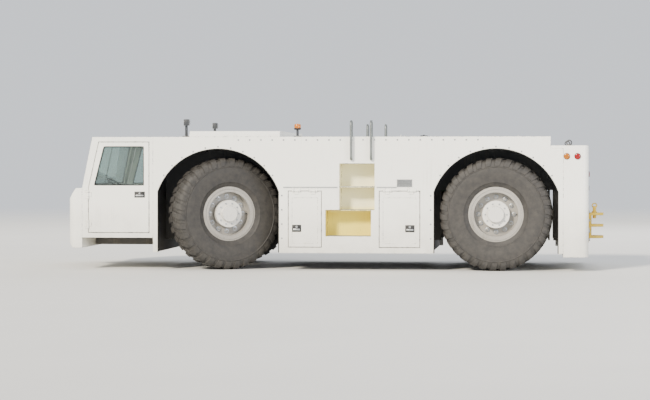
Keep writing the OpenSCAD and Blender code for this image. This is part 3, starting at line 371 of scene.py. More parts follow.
# %% Plastics and vinyl
def moulded(name, colour, worn, rough, grain, depth):
    """A moulded plastic or vinyl with a pressed grain: grain is its size in metres, depth its height."""
    material, tree, shader, place = start_finish(name, IOR=1.48)
    cells = add(tree, "ShaderNodeTexVoronoi", {"Vector": place, "Scale": 1.0 / grain},
                feature="DISTANCE_TO_EDGE").outputs[0]
    wear = add(tree, "ShaderNodeTexNoise", {"Vector": place, "Scale": 6.0, "Detail": 5.0}).outputs[0]
    wear = add(tree, "ShaderNodeMapRange", {"Value": wear, "From Min": 0.45, "From Max": 0.75}).outputs[0]
    mixed = add(tree, "ShaderNodeMix", {0: wear, 6: paint(colour), 7: paint(worn)},
                data_type="RGBA").outputs[2]
    tree.links.new(mixed, shader.inputs["Base Color"])
    dull = add(tree, "ShaderNodeMapRange", {"Value": wear, "To Min": rough, "To Max": rough + 0.2}).outputs[0]
    tree.links.new(dull, shader.inputs["Roughness"])
    relief(tree, shader, cells, depth, 0.6)
    return material


# %% Clear and dyed lenses
def lens(name, colour, transmission, rough=0.06, film_depth=0.14):
    """Polycarbonate or glass: clear or dyed, with a film of dust that dulls it by up to film_depth."""
    material, tree, shader, place = start_finish(name, Base_Color=paint(colour), IOR=1.5,
                                                 Transmission_Weight=transmission)
    film = add(tree, "ShaderNodeTexNoise", {"Vector": place, "Scale": 7.0, "Detail": 6.0}).outputs[0]
    dull = add(tree, "ShaderNodeMapRange", {"Value": film, "To Min": rough,
                                           "To Max": rough + film_depth}).outputs[0]
    tree.links.new(dull, shader.inputs["Roughness"])
    return material


# %% The paint shop's list
finishes = {
    "white": white_enamel(),
    "deck": enamel("anti_slip_deck_coating", "#CFCEC8", "#8F887B", 0.3, 0.62, grit=0.0022),
    "chassis": enamel("satin_chassis_paint", "#33363A", "#6E675C", 1.4, 0.48, under="#85817A"),
    "yellow": enamel("gritted_safety_yellow", "#F0DE62", "#A69B6C", 0.7, 0.5, grit=0.0018,
                     bleached_and_lit="#FAF6D8"),
    "hitch": enamel("safety_yellow_hitch_enamel", "#E2BE38", "#7C6F4C", 0.9, 0.44, under="#6F6553"),
    "wheel": enamel("wheel_enamel", "#9C9890", "#6F695F", 0.9, 0.42),
    "hub": enamel("white_hub_enamel", "#DDDAD2", "#8F897E", 0.6, 0.38),
    "engine": enamel("engine_enamel", "#4F6A5A", "#3A3630", 1.2, 0.5),
    "rubber": tyre_rubber(),
    "zinc": bare_metal("zinc_plated_steel", "#B9BCBE", "#7F807C", 0.38),
    "galvanised": bare_metal("hot_dip_galvanised_steel", "#8E9392", "#62645F", 0.52),
    "cast": bare_metal("cast_iron", "#6A6864", "#4B433C", 0.62),
    "fins": bare_metal("aluminium_fins", "#A9ADB0", "#6C6A66", 0.45),
    "mirror": bare_metal("lamp_reflector_chrome", "#DADDDE", "#B9BABB", 0.16),
    "vinyl": moulded("black_seat_vinyl", "#1D1E20", "#37373A", 0.42, 0.006, 0.0007),
    "plastic": moulded("grained_black_abs", "#1B1C1D", "#3A3A39", 0.5, 0.004, 0.0006),
    "gasket": moulded("epdm_rubber_gasket", "#161616", "#2E2D2B", 0.66, 0.01, 0.0004),
    "glass": lens("tinted_safety_glass", "#C3D3CF", 0.96, 0.01, 0.02),
    "clear": lens("clear_polycarbonate", "#F2F4F2", 0.95),
    "amber": lens("amber_polycarbonate", "#E98A12", 0.55, 0.1),
    "red": lens("red_polycarbonate", "#B3161A", 0.45, 0.1),
}
print("finishes:", ", ".join(finishes))

# %% [markdown]
# ## Painting the CAD nodes
#
# Where a CAD node's shape is right it stays, and only gets its finish. The table says which node is
# dipped in which paint. Wheels and knuckles come in fours, so their names are matched by how they start.
# What no start matches is white bodywork.

# %% Painting
PAINT_BY_START = [
    ("frame_rails", "chassis"), ("bay_walls", "chassis"), ("cross_members", "chassis"),
    ("front_axle", "chassis"), ("rear_axle", "chassis"), ("knuckle", "chassis"), ("tie_rod", "zinc"),
    ("front_hitch", "hitch"), ("rear_hitch", "hitch"), ("step_boxes", "yellow"),
    ("deck_posts", "chassis"), ("deck", "deck"), ("cab_glass", "glass"), ("door_glass", "glass"),
    ("dashboard", "plastic"), ("steering_wheel", "plastic"), ("seats", "vinyl"), ("engine_block", "engine"),
    ("radiator", "fins"), ("grab_rails", "galvanised"), ("rim", "wheel"), ("tyre", "rubber"),
    ("lamps", "clear"),
]


def finish_of(node_name):
    """The finish of a CAD node, white enamel unless the table says otherwise."""
    return next((finish for start, finish in PAINT_BY_START if node_name.startswith(start)), "white")


for name, node in nodes.items():
    node.data.materials.clear()
    node.data.materials.append(finishes[finish_of(name)])
print("painted", len(nodes), "nodes")

# %% [markdown]
# ## Shapes to build with
#
# The small pieces are made the way a workshop makes them: turned on a lathe, cut from block and eased at
# the edges, bent from tube, or cut from plate. Each of these four functions gives one such shape as a
# loose mesh.

# %% Four kinds of shape
EASED_FROM = 0.5  # radians: an edge that turns further than this is rounded


def eased(part, edge, segments=2):
    """Rounds a shape's sharp edges to a radius."""
    sharp = [e for e in part.edges if len(e.link_faces) == 2 and e.calc_face_angle() > EASED_FROM]
    bmesh.ops.bevel(part, geom=sharp, offset=edge, segments=segments, profile=0.5, affect="EDGES")
    return part


def block(low, high, edge, segments=2):
    """A block between two corners, eased at its edges."""
    part = bmesh.new()
    bmesh.ops.create_cube(part, size=1.0)
    low, high = Vector(low), Vector(high)
    part.transform(Matrix.Translation((low + high) / 2) @ Matrix.Diagonal((*(high - low), 1)))
    return eased(part, edge, segments)


def plate(outline, thickness, edge=0.0):
    """A flat outline of (x, y) points, extruded along Z."""
    part = bmesh.new()
    face = part.faces.new([part.verts.new((x, y, 0)) for x, y in outline])
    face.normal_update()
    if face.normal.z > 0:
        face.normal_flip()
    lifted = bmesh.ops.extrude_face_region(part, geom=[face])["geom"]
    bmesh.ops.translate(part, verts=[v for v in lifted if isinstance(v, bmesh.types.BMVert)],
                        vec=(0, 0, thickness))
    bmesh.ops.recalc_face_normals(part, faces=part.faces)
    return eased(part, edge) if edge else part


def joined_rings(part, rings, ends):
    """Faces between closed rings of vertices. ends caps the row."""
    for ring, following in zip(rings, rings[1:]):
        for i in range(len(ring)):
            j = (i + 1) % len(ring)
            part.faces.new((ring[i], ring[j], following[j], following[i]))
    if ends:
        part.faces.new(list(reversed(rings[0])))
        part.faces.new(rings[-1])
    bmesh.ops.recalc_face_normals(part, faces=part.faces)
    return part


def turned(profile, segments, loop=False):
    """A profile of (radius, height) points, turned about Z. loop closes the profile on itself."""
    part = bmesh.new()
    circle = [(math.cos(2 * math.pi * i / segments), math.sin(2 * math.pi * i / segments))
              for i in range(segments)]
    rings = [[part.verts.new((r * c, r * s, h)) for c, s in circle] for r, h in profile]
    return joined_rings(part, rings + rings[:1] if loop else rings, ends=not loop)


def tube(path, radius, segments=10, closed=False):
    """A round bar along a path. closed joins its end to its start."""
    part = bmesh.new()
    path = [Vector(p) for p in path]
    count = len(path)
    rings, side = [], None
    for i, point in enumerate(path):
        before = path[i - 1] if i or closed else point
        after = path[(i + 1) % count] if i < count - 1 or closed else point
        along = (after - before).normalized()
        side = (side or along.orthogonal()) - along * along.dot(side or along.orthogonal())
        side.normalize()
        other = along.cross(side)
        rings.append([part.verts.new(point + radius * (math.cos(a) * side + math.sin(a) * other))
                      for a in (2 * math.pi * k / segments for k in range(segments))])
    return joined_rings(part, rings + rings[:1] if closed else rings, ends=not closed)


# %% [markdown]
# ## Putting shapes together
#
# A piece is one mesh that rides on one CAD body. Shapes are added to it with their finish and their
# place, so a lamp can be a bezel, a bowl and a lens in one object. Where a shape stands on a face, the
# place comes from the point it stands on and the way the face looks.

# %% Pieces and places
SHARP_FROM = math.radians(35)  # an edge that turns further than this is lit as sharp


def facing(point, normal):
    """A place whose Z looks along normal, which isn't upright, and whose Y is as upright as it can be."""
    up, z = Vector((0, 0, 1)), Vector(normal).normalized()
    y = (up - z * z.dot(up)).normalized()
    turn = Matrix((y.cross(z), y, z)).transposed().to_4x4()
    return Matrix.Translation(point) @ turn


class Piece:
    """Collects shapes in one mesh and makes one object of them."""

    def __init__(self, name):
        self.name, self.mesh, self.used = name, bmesh.new(), []

    def add(self, part, finish, place=Matrix(), smooth=True):
        """Takes a shape, with a finish from the paint shop's list, at a place."""
        if finish not in self.used:
            self.used.append(finish)
        for face in part.faces:
            face.material_index = self.used.index(finish)
            face.smooth = smooth
        part.transform(place)
        if place.to_3x3().determinant() < 0:
            bmesh.ops.reverse_faces(part, faces=part.faces)
        carrier = bpy.data.meshes.new("carrier")
        part.to_mesh(carrier)
        part.free()
        self.mesh.from_mesh(carrier)
        bpy.data.meshes.remove(carrier)

    def row(self, part, count, finish, place=Matrix(), turn=(0.0, 0.0, 0.0), shift=(0.0, 0.0, 0.0),
            smooth=True):
        """Takes a shape count times, each turned and shifted one step further than the last."""
        self.add(repeated(part, count, finish, turn, shift), finish, place, smooth)

    def stand(self, part, places, finish, seed):
        """Takes a fitting on many places: each place is a point and the way that its face looks."""
        self.add(stood(part, places, finish, seed), finish)

    def make(self, body, slot, replaced=()):
        """The finished object, riding on its body, with the CAD nodes that it replaces hidden. slot, the
        record's slot that its finish stands for, is not used."""
        mesh = bpy.data.meshes.new(self.name)
        self.mesh.to_mesh(mesh)
        self.mesh.free()
        for finish in self.used:
            mesh.materials.append(finishes[finish])
        made = put(self.name, mesh)
        mesh.set_sharp_from_angle(angle=SHARP_FROM)
        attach(made, body)
        if replaced:
            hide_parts(*replaced)
        return made


# %% [markdown]
# ## Repeating a shape
#
# Lugs on a tyre, nuts on a wheel, fins in a vent and ribs on a tread are one shape, repeated. A geometry
# tree does that: a row of points, the shape on each, turned and shifted by one more step than the last.

# %% The tree that repeats
def new_tree(name, sockets):
    """An empty geometry tree with a geometry input and output and the given inputs."""
    tree = bpy.data.node_groups.new(name, "GeometryNodeTree")
    tree.interface.new_socket("Geometry", in_out="OUTPUT", socket_type="NodeSocketGeometry")
    tree.interface.new_socket("Geometry", in_out="INPUT", socket_type="NodeSocketGeometry")
    for socket, kind in sockets:
        tree.interface.new_socket(socket, in_out="INPUT", socket_type="NodeSocket" + kind)
    return tree, add(tree, "NodeGroupInput").outputs


def end_tree(tree, instances, material):
    """Turns instances into plain mesh, gives it its finish and closes the tree."""
    solid = add(tree, "GeometryNodeRealizeInstances", {"Geometry": instances}).outputs[0]
    dressed = add(tree, "GeometryNodeSetMaterial", {"Geometry": solid, "Material": material}).outputs[0]
    add(tree, "NodeGroupOutput", {"Geometry": dressed})


def repeat_tree():
    tree, given = new_tree("repeat", [("Count", "Int"), ("Turn", "Vector"), ("Shift", "Vector"),
                                      ("Finish", "Material")])
    index = add(tree, "GeometryNodeInputIndex").outputs[0]
    turn, shift = (add(tree, "ShaderNodeVectorMath", {0: given[step], "Scale": index},
                       operation="SCALE").outputs[0] for step in ("Turn", "Shift"))
    points = add(tree, "GeometryNodePoints", {"Count": given["Count"], "Position": shift}).outputs[0]
    copies = add(tree, "GeometryNodeInstanceOnPoints",
                 {"Points": points, "Instance": given["Geometry"], "Rotation": turn}).outputs[0]
    end_tree(tree, copies, given["Finish"])
    return tree


REPEAT = repeat_tree()

# %% [markdown]
# ## Standing a fitting on many places
#
# Bolts stand wherever plates are joined. The second tree takes a mesh that is only points, each with the
# way its face looks stored on it, and stands one fitting on every point. Each bolt is spun by a different
# angle, because nobody stops a spanner at the same flat twice; a fixed seed keeps those angles the same
# every time.

# %% The tree that stands fittings
def fitting_tree():
    tree, given = new_tree("stand_fittings", [("Fitting", "Object"), ("Seed", "Int"), ("Finish", "Material")])
    looks = add(tree, "GeometryNodeInputNamedAttribute", {"Name": "looks"},
                data_type="FLOAT_VECTOR").outputs[0]
    upright = add(tree, "FunctionNodeAlignRotationToVector", {"Vector": looks}, axis="Z").outputs[0]
    spin = add(tree, "FunctionNodeRandomValue", {"Seed": given["Seed"]}, data_type="FLOAT")
    spin.inputs[3].default_value = 2 * math.pi
    about = add(tree, "ShaderNodeCombineXYZ", {"Z": spin.outputs[1]}).outputs[0]
    turned_so = add(tree, "FunctionNodeRotateRotation", {"Rotation": upright, "Rotate By": about},
                    rotation_space="LOCAL").outputs[0]
    shape = add(tree, "GeometryNodeObjectInfo", {"Object": given["Fitting"]}).outputs["Geometry"]
    copies = add(tree, "GeometryNodeInstanceOnPoints",
                 {"Points": given["Geometry"], "Instance": shape, "Rotation": turned_so}).outputs[0]
    end_tree(tree, copies, given["Finish"])
    return tree


STAND = fitting_tree()


# %% Running a tree
def grown(obj, tree, **values):
    """Runs a geometry tree on an object with the given inputs and gives the result as a loose mesh."""
    modifier = obj.modifiers.new(tree.name, "NODES")
    modifier.node_group = tree
    identifiers = {item.name: item.identifier for item in tree.interface.items_tree
                   if item.in_out == "INPUT"}
    for name, value in values.items():
        modifier[identifiers[name]] = value
    scene_now = bpy.context.evaluated_depsgraph_get()
    mesh = bpy.data.meshes.new_from_object(obj.evaluated_get(scene_now))
    part = bmesh.new()
    part.from_mesh(mesh)
    bpy.data.meshes.remove(mesh)
    obj.modifiers.clear()
    return part


def loose_object(part, name):
    """A helper object that holds a loose mesh while a tree runs on it."""
    mesh = bpy.data.meshes.new(name)
    part.to_mesh(mesh)
    part.free()
    return put(name, mesh)


def dropped(*helpers):
    """Removes helper objects and their meshes."""
    for helper in helpers:
        mesh = helper.data
        bpy.data.objects.remove(helper)
        bpy.data.meshes.remove(mesh)


def repeated(part, count, finish, turn, shift):
    """A shape repeated count times, each turned and shifted one step further than the last."""
    helper = loose_object(part, "repeat_helper")
    result = grown(helper, REPEAT, Count=count, Turn=turn, Shift=shift, Finish=finishes[finish])
    dropped(helper)
    return result


def stood(part, places, finish, seed):
    """A fitting stood on many places: each place is a point and the way that its face looks."""
    fitting = loose_object(part, "fitting_helper")
    ground = bpy.data.meshes.new("places")
    ground.from_pydata([point for point, _ in places], [], [])
    looks = ground.attributes.new("looks", "FLOAT_VECTOR", "POINT")
    looks.data.foreach_set("vector", [c for _, normal in places for c in normal])
    helper = put("places", ground)
    result = grown(helper, STAND, Fitting=fitting, Seed=seed, Finish=finishes[finish])
    dropped(helper, fitting)
    return result


def around(count):
    """The turn from one to the next of count shapes round Z."""
    return (0.0, 0.0, 2 * math.pi / count)


# %% [markdown]
# ## Tyres
#
# Port and airport tractors run on wide earthmover tyres, about 1.58 m high. The carcass is a turned
# section: a flat crown, round shoulders, a sidewall that bulges and draws in to the bead, and two moulded
# rings that guard it from kerbs. The tread is a row of slanted blocks on each half, staggered so that one
# half's block meets the other's groove. A block is swept along the carcass from the middle of the crown
# over the shoulder, so it thins out where a real lug does.

# %% The carcass
TREAD_DEPTH = 0.021  # metres from the groove's floor to the top of a block
LUG_COUNT = 34  # blocks round each half of the tread
CROWN = tyre_radius - TREAD_DEPTH - 0.0005
OUTER_SECTION = [  # (radius below the crown, inboard of the tyre's side): crown to bead
    (0.0, tyre_half), (0.001, 0.18), (0.002, 0.12), (0.005, 0.075), (0.013, 0.048), (0.032, 0.028),
    (0.062, 0.014), (0.098, 0.0065), (0.102, 0.0015), (0.111, 0.0015), (0.116, 0.006),
    (0.168, 0.0015), (0.235, 0.006), (0.300, 0.016), (0.318, 0.016), (0.322, 0.0215),
    (0.352, 0.033), (0.3825, 0.050), (0.3825, 0.075)]
half_section = [Vector((CROWN - drop, tyre_half - inset)) for drop, inset in OUTER_SECTION]
carcass = half_section + [Vector((p.x, -p.y)) for p in reversed(half_section[1:])]


# %% One block of the tread
def along_section(distance):
    """The point and outward normal at a distance along the section from the middle of the crown."""
    for a, b in zip(half_section, half_section[1:]):
        step = (b - a).length
        if distance <= step:
            along = (b - a).normalized()
            return a + along * distance, Vector((along.y, -along.x))
        distance -= step
    raise ValueError("the section is shorter than that")


def tread_block():
    """A slanted block from the crown's middle over the shoulder, as a loose mesh round Z."""
    start, end, steps, slant, curve = 0.014, 0.285, 14, 0.055, 1.4
    half_foot, half_top, root = 0.047, 0.040, 0.004
    shoulder, thinned = 0.62, 0.72  # share of the way where it starts to thin, and by how much
    part, rings = bmesh.new(), []
    for i in range(steps + 1):
        share = i / steps
        point, normal = along_section(start + share * (end - start))
        height = TREAD_DEPTH * (1.0 - thinned * max(0.0, share - shoulder) / (1.0 - shoulder))
        ring = []
        for half, lift in ((-half_foot, -root), (-half_top, height), (half_top, height), (half_foot, -root)):
            p = point + normal * lift
            angle = (slant * share ** curve + half) / CROWN
            ring.append(part.verts.new((p.x * math.cos(angle), p.x * math.sin(angle), p.y)))
        rings.append(ring)
    return joined_rings(part, rings, ends=True)


# %% Mounting the four tyres
CORNERS = ["front_left", "front_right", "rear_left", "rear_right"]


def mounted(piece, corner, slot, replaced=()):
    """Puts a wheel's piece, made round Z, at its corner: its middle is the tyre's, its Z outboard."""
    low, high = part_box("tyre_" + corner)
    axle = Vector(joints["roll_" + corner]["axis"])
    if axle.y * (1 if corner.endswith("left") else -1) < 0:
        axle.negate()
    piece.mesh.transform(facing((low + high) / 2, axle))
    return piece.make("wheel_" + corner, slot, replaced)


for corner in CORNERS:
    tyre = Piece("treaded_tyre_" + corner)
    tyre.add(turned([tuple(p) for p in carcass], 128, loop=True), "rubber")
    for flip, stagger in ((1, 0.0), (-1, math.pi / LUG_COUNT)):
        mirrored = Matrix.Rotation(stagger, 4, "Z") @ Matrix.Diagonal((1, 1, flip, 1))
        tyre.row(tread_block(), LUG_COUNT, "rubber", mirrored, turn=around(LUG_COUNT), smooth=False)
    made = mounted(tyre, corner, "tyre_rubber", ["tyre_" + corner])
print("tyre:", len(made.data.polygons), "faces")

# %% [markdown]
# ## Wheel hardware
#
# The rims stay as the CAD has them. On them go what a fitter would recognise: a nut and washer on each
# stud, a split lock ring that holds the outer bead, small bolts round the hub cap, and the valve. The hub
# itself wears a thin pressed cover in white, which shines out of the grey wheel from far away.

# %% Wheel hardware
DISC_FACE, HUB_FACE, CAP_FACE = 0.064, 0.170, 0.215  # metres outboard of the tyre's middle, as in the CAD
HUB_RADIUS, CAP_RADIUS = 0.190, 0.110  # metres, as in the CAD
STUD_RING, STUDS = 0.245, 12  # the studs' circle in metres and their number
BOLT_RING, BOLTS = 0.150, 10  # the same for the bolts round the cap
WASHER_T = 0.005  # metres: a stud's washer
LOCK_RING, LOCK_PLACE = 0.356, 0.190  # metres: the lock ring's radius and place
VALVE = [(0.282, 0, DISC_FACE), (0.282, 0, 0.088), (0.288, 0, 0.104)]
COVER_T = 0.003  # metres: the hub cover's sheet
HUB_COVER = [(HUB_RADIUS + COVER_T, 0.092), (HUB_RADIUS + COVER_T, HUB_FACE),
             (HUB_RADIUS, HUB_FACE + COVER_T), (CAP_RADIUS + 0.010, HUB_FACE + COVER_T),
             (CAP_RADIUS + COVER_T, HUB_FACE + 0.008),
             (CAP_RADIUS + COVER_T, CAP_FACE), (CAP_RADIUS, CAP_FACE + COVER_T)]


def hexagon(flats, height, edge=0.0015):
    """A hexagonal nut or bolt head that stands on Z = 0."""
    radius = flats / math.sqrt(3)
    return plate([(radius * math.cos(math.pi / 3 * k), radius * math.sin(math.pi / 3 * k)) for k in range(6)],
                 height, edge)


def disc(radius, height, edge=0.0015, segments=24):
    """A round disc that stands on Z = 0, with an eased upper edge."""
    return turned([(radius, 0.0), (radius, height - edge), (radius - edge, height)], segments)


def bead(radius, height, wide, tall, count=10):
    """An oval section to be turned: its middle's radius and height, its half width and half height."""
    return [(radius + wide * math.cos(a), height + tall * math.sin(a))
            for a in (2 * math.pi / count * k for k in range(count))]


for corner in CORNERS:
    hardware = Piece("wheel_hardware_" + corner)
    for part, count, place in ((disc(0.034, WASHER_T), STUDS, (STUD_RING, 0, DISC_FACE)),
                               (hexagon(0.050, 0.013), STUDS, (STUD_RING, 0, DISC_FACE + WASHER_T)),
                               (hexagon(0.022, 0.009), BOLTS, (BOLT_RING, 0, HUB_FACE + COVER_T))):
        part.transform(Matrix.Translation(place))
        hardware.row(part, count, "zinc", turn=around(count))
    hardware.add(turned(bead(LOCK_RING, LOCK_PLACE, 0.011, 0.006), 96, loop=True), "wheel")
    hardware.add(tube(VALVE, 0.006), "zinc")
    hardware.add(disc(0.009, 0.018), "plastic", Matrix.Translation((0.288, 0, 0.102)))
    mounted(hardware, corner, "bare_steel")
    cover = Piece("hub_cover_" + corner)
    cover.add(turned(HUB_COVER, 64), "hub")
    mounted(cover, corner, "rim_paint")
print("wheel hardware on", len(CORNERS), "wheels")

# %% [markdown]
# ## Reading outlines and islands from the CAD
#
# Gaskets run along the edge of the glass, and a lamp's bezel goes round that very lamp. Both are read
# from the CAD mesh: an outline is the hull of a node's points seen from one side, and an island is one of
# the separate solids in a node, such as one lamp of twelve.

# %% Outlines and islands
WELD = 0.00002  # metres: a mesh's faces meet closer than this, two solids never do
CORNER_GAP = 0.03  # metres: two points of an outline closer than this are one corner


def outline_of(node_name):
    """The corners of a flat, upright node in order."""
    points = [v.co.copy() for v in nodes[node_name].data.vertices]
    hull = convex_hull_2d([(p.x, p.z) for p in points])
    corners = []
    for i in hull:
        if all((points[i] - c).length > CORNER_GAP for c in corners):
            corners.append(points[i])
    return corners


def rounded_loop(corners, radius, steps=5):
    """A closed path round the corners, with each corner turned at a radius."""
    path = []
    for i, corner in enumerate(corners):
        before = (corners[i - 1] - corner).normalized()
        after = (corners[(i + 1) % len(corners)] - corner).normalized()
        for k in range(steps + 1):
            t = k / steps
            path.append(corner + before * radius * (1 - t) ** 2 + after * radius * t ** 2)
    return path


def islands(node_name):
    """(lowest corner, highest corner) of each separate solid in a node."""
    part = bmesh.new()
    part.from_mesh(nodes[node_name].data)
    bmesh.ops.remove_doubles(part, verts=part.verts, dist=WELD)
    left, found = set(part.verts), []
    while left:
        stack, group = [left.pop()], []
        while stack:
            vertex = stack.pop()
            group.append(vertex.co.copy())
            for link in vertex.link_edges:
                other = link.other_vert(vertex)
                if other in left:
                    left.discard(other)
                    stack.append(other)
        found.append((Vector(map(min, zip(*group))), Vector(map(max, zip(*group)))))
    part.free()
    return sorted(found, key=lambda box: (round(box[0].x, 3), round(box[0].y, 3), round(box[0].z, 3)))


lamp_boxes = islands("lamps")
post_boxes = islands("deck_posts")
print("lamps:", len(lamp_boxes), "posts:", len(post_boxes))

# %% [markdown]
# ## Lamps
#
# A headlamp is a spun and chromed bowl behind a hollow clear lens, held by a black bezel that overlaps
# the hole in the nose. Marker and tail lamps are a dyed dome on a black rubber base. They stand for the
# plain discs of the CAD, at the same places and within the same size.

# %% Lamps
OUTER_TAIL = 0.35  # metres: a tail lamp nearer to the side than this is the outer, red one
LAST_MARKER = 0.20  # metres: a side marker nearer to the tail than this is the last, red one
lamps = Piece("lamp_units")


def headlamp(place, radius, deep):
    """A bowl with its bulb, the lens over it as a closed shell, and the bezel."""
    bowl = [(radius - 0.010, 0.001), (0.010, 0.001), (0.012, 0.004), (0.035, 0.007), (0.058, 0.017),
            (radius - 0.012, deep - 0.012), (radius - 0.006, deep - 0.012)]
    shell = [(radius - 0.010, deep - 0.010), (radius - 0.022, deep - 0.004), (radius * 0.5, deep - 0.001),
             (0.004, deep), (0.004, deep - 0.003), (radius * 0.5, deep - 0.004),
             (radius - 0.024, deep - 0.008), (radius - 0.012, deep - 0.013)]
    lamps.add(turned(bowl, 48), "mirror", place)
    lamps.add(turned([(0.009, 0.006), (0.009, 0.020), (0.004, 0.025)], 16), "clear", place)
    lamps.add(turned(shell, 48, loop=True), "clear", place)
    lamps.add(turned(bead(radius - 0.006, deep - 0.006, 0.006, 0.006), 48, loop=True), "plastic", place)


def marker(place, radius, deep, finish):
    """A dyed dome on a rubber base."""
    base = [(radius, 0), (radius, deep * 0.35), (radius - 0.004, deep * 0.45)]
    dome = [(radius - 0.005, deep * 0.3), (radius - 0.005, deep * 0.7), (radius - 0.012, deep * 0.92),
            (radius * 0.4, deep)]
    lamps.add(turned(base, 32), "gasket", place)
    lamps.add(turned(dome, 32), finish, place)


for low, high in lamp_boxes:
    (x, y, z), size = (low + high) / 2, high - low
    if x > 0:
        headlamp(facing((low.x, y, z), (1, 0, 0)), size.z / 2, size.x)
    elif size.x < size.y:
        marker(facing((high.x, y, z), (-1, 0, 0)), size.z / 2, size.x,
               "red" if abs(y) > half_width - OUTER_TAIL else "amber")
    else:
        left = y > 0
        marker(facing((x, low.y if left else high.y, z), (0, 1 if left else -1, 0)), size.z / 2, size.y,
               "red" if x < tail_face + LAST_MARKER else "amber")
lamps.make("root", "lamp_glass", ["lamps"])

# %% [markdown]
# ## Work lamps and beacon
#
# Each work lamp is a cast housing on a short tube, bolted to the deck through a round foot, with its lens
# towards the tail so that it lights the hood and the ballast block. The beacon is an amber dome on a
# black base. They replace the plain posts of the CAD.

# %% Work lamps and beacon
FOOT_T = 0.010  # metres: a post's foot
posts = Piece("work_lamps_and_beacon")
for low, high in post_boxes:
    tall, foot_radius = high.z - low.z, (high.x - low.x) / 2
    at = Matrix.Translation(((low.x + high.x) / 2, (low.y + high.y) / 2, low.z))
    posts.add(disc(foot_radius, FOOT_T), "chassis", at)
    bolt = hexagon(0.014, 0.007)
    bolt.transform(Matrix.Translation((foot_radius * 0.72, 0, FOOT_T)))
    posts.row(bolt, 4, "zinc", at, turn=around(4))
    if at.translation.x > front_axle_x:  # ahead of the front axle stand the work lamps, then the beacon
        tube_wall = [(0.024, 0.008), (0.022, 0.02), (0.020, 0.05), (0.020, tall - 0.09)]
        posts.add(turned(tube_wall, 24), "chassis", at)
        posts.add(block((-0.042, -0.058, tall - 0.088), (0.030, 0.058, tall), 0.010, 3), "chassis", at)
        posts.add(block((-0.045, -0.050, tall - 0.080), (-0.040, 0.050, tall - 0.008), 0.002), "clear", at)
        posts.add(block((0.026, -0.006, tall - 0.10), (0.040, 0.006, tall - 0.03), 0.003), "zinc", at)
    else:
        base = [(0.034, tall - 0.088), (0.050, tall - 0.080), (0.050, tall - 0.066), (0.046, tall - 0.062)]
        dome = [(0.046, tall - 0.064), (0.046, tall - 0.020), (0.040, tall - 0.008), (0.022, tall - 0.001),
                (0.004, tall)]
        posts.add(turned([(0.018, 0.008), (0.017, tall - 0.085)], 20), "chassis", at)
        posts.add(turned(base, 32), "plastic", at)
        posts.add(turned(dome, 32), "amber", at)
posts.make("root", "frame_paint", ["deck_posts"])

# %% [markdown]
# ## Glazing rubber and wipers
#
# Flat safety glass sits in a rubber channel that is pushed over the edge of the opening. It is what shows
# as the dark frame round each window. The windscreen has two wipers that park along its foot.

# %% Gaskets
GASKET_INSET = 0.010  # metres inboard of the door's outer face
SCREEN_T = 0.008  # metres: the windscreen's glass
DOOR_CORNER, SCREEN_CORNER = 0.035, 0.05  # metres: the radius at the corners of the glass
DOOR_BEAD, SCREEN_BEAD, MIDDLE_BEAD = 0.011, 0.014, 0.012  # metres: the radius of each rubber
for side, name in SIDES:
    rubber = Piece("door_glazing_rubber_" + name)
    loop = rounded_loop(outline_of("door_glass_" + name), DOOR_CORNER)
    loop = [p + Vector((0, side * (half_width - GASKET_INSET - abs(p.y)), 0)) for p in loop]
    rubber.add(tube(loop, DOOR_BEAD, 8, closed=True), "gasket")
    rubber.make("cab_door_" + name, "black_plastic")

screen_low, screen_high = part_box("cab_glass")
lean = Vector((screen_low.x - screen_high.x + SCREEN_T, 0, screen_high.z - screen_low.z))
screen_up = lean.normalized()
screen_out = Vector((screen_up.z, 0, -screen_up.x))


def on_screen(y, share, off=0.0):
    """A point off the windscreen's outer face, at a share of the way from its foot to its head."""
    return Vector((screen_high.x, y, screen_low.z)) + lean * share + screen_out * (0.002 + off)


rubber = Piece("windscreen_rubber")
reach = screen_high.y
corners = [on_screen(y, share) for y, share in ((-reach, 0), (reach, 0), (reach, 1), (-reach, 1))]
loop = rounded_loop(corners, SCREEN_CORNER)
rubber.add(tube(loop, SCREEN_BEAD, 8, closed=True), "gasket")
rubber.add(tube([on_screen(0, 0.01), on_screen(0, 0.99)], MIDDLE_BEAD, 8), "gasket")
rubber.make("root", "black_plastic")

# %% Wipers
WIPER_PIVOTS = (0.95, -0.28)  # metres: Y of each wiper's pivot
ARM, BLADE_NEAR, BLADE_FAR = 0.52, 0.20, 0.80  # metres from the pivot: the arm's tip and the blade's ends
arm_lift = screen_out * 0.014
wipers = Piece("wipers")
for pivot_y in WIPER_PIVOTS:
    pivot, tip = on_screen(pivot_y, 0.03, 0.012), on_screen(pivot_y - ARM, 0.20, 0.022)
    wipers.add(disc(0.020, 0.024), "plastic", facing(on_screen(pivot_y, 0.03), screen_out))
    wipers.add(tube([pivot + arm_lift, pivot.lerp(tip, 0.3) + arm_lift, tip], 0.006, 8), "plastic")
    blade = (on_screen(pivot_y - BLADE_FAR, 0.13) - on_screen(pivot_y - BLADE_NEAR, 0.24)) / 2
    wipers.add(tube([tip - blade, tip, tip + blade], 0.007, 6), "gasket")
wipers.make("root", "black_plastic")

# %% [markdown]
# ## Handles, latches and the vent
#
# The cab doors have a lever handle on a dark scutcheon near their rear edge. Each locker has a paddle
# latch at the height where the photograph shows one. A small aluminium louvred vent sits above the rear
# locker.

# %% Door handles and latches
HANDLE_X = 0.13  # metres from a cab door's rear edge
HANDLE_Z = 1.06  # metres above the ground
LATCH_Z = 0.59  # metres above the ground, from the photograph
LATCH_X = {"front": 0.401, "rear": -1.190}
LATCH_INSET = 0.004  # metres inboard of the side plate


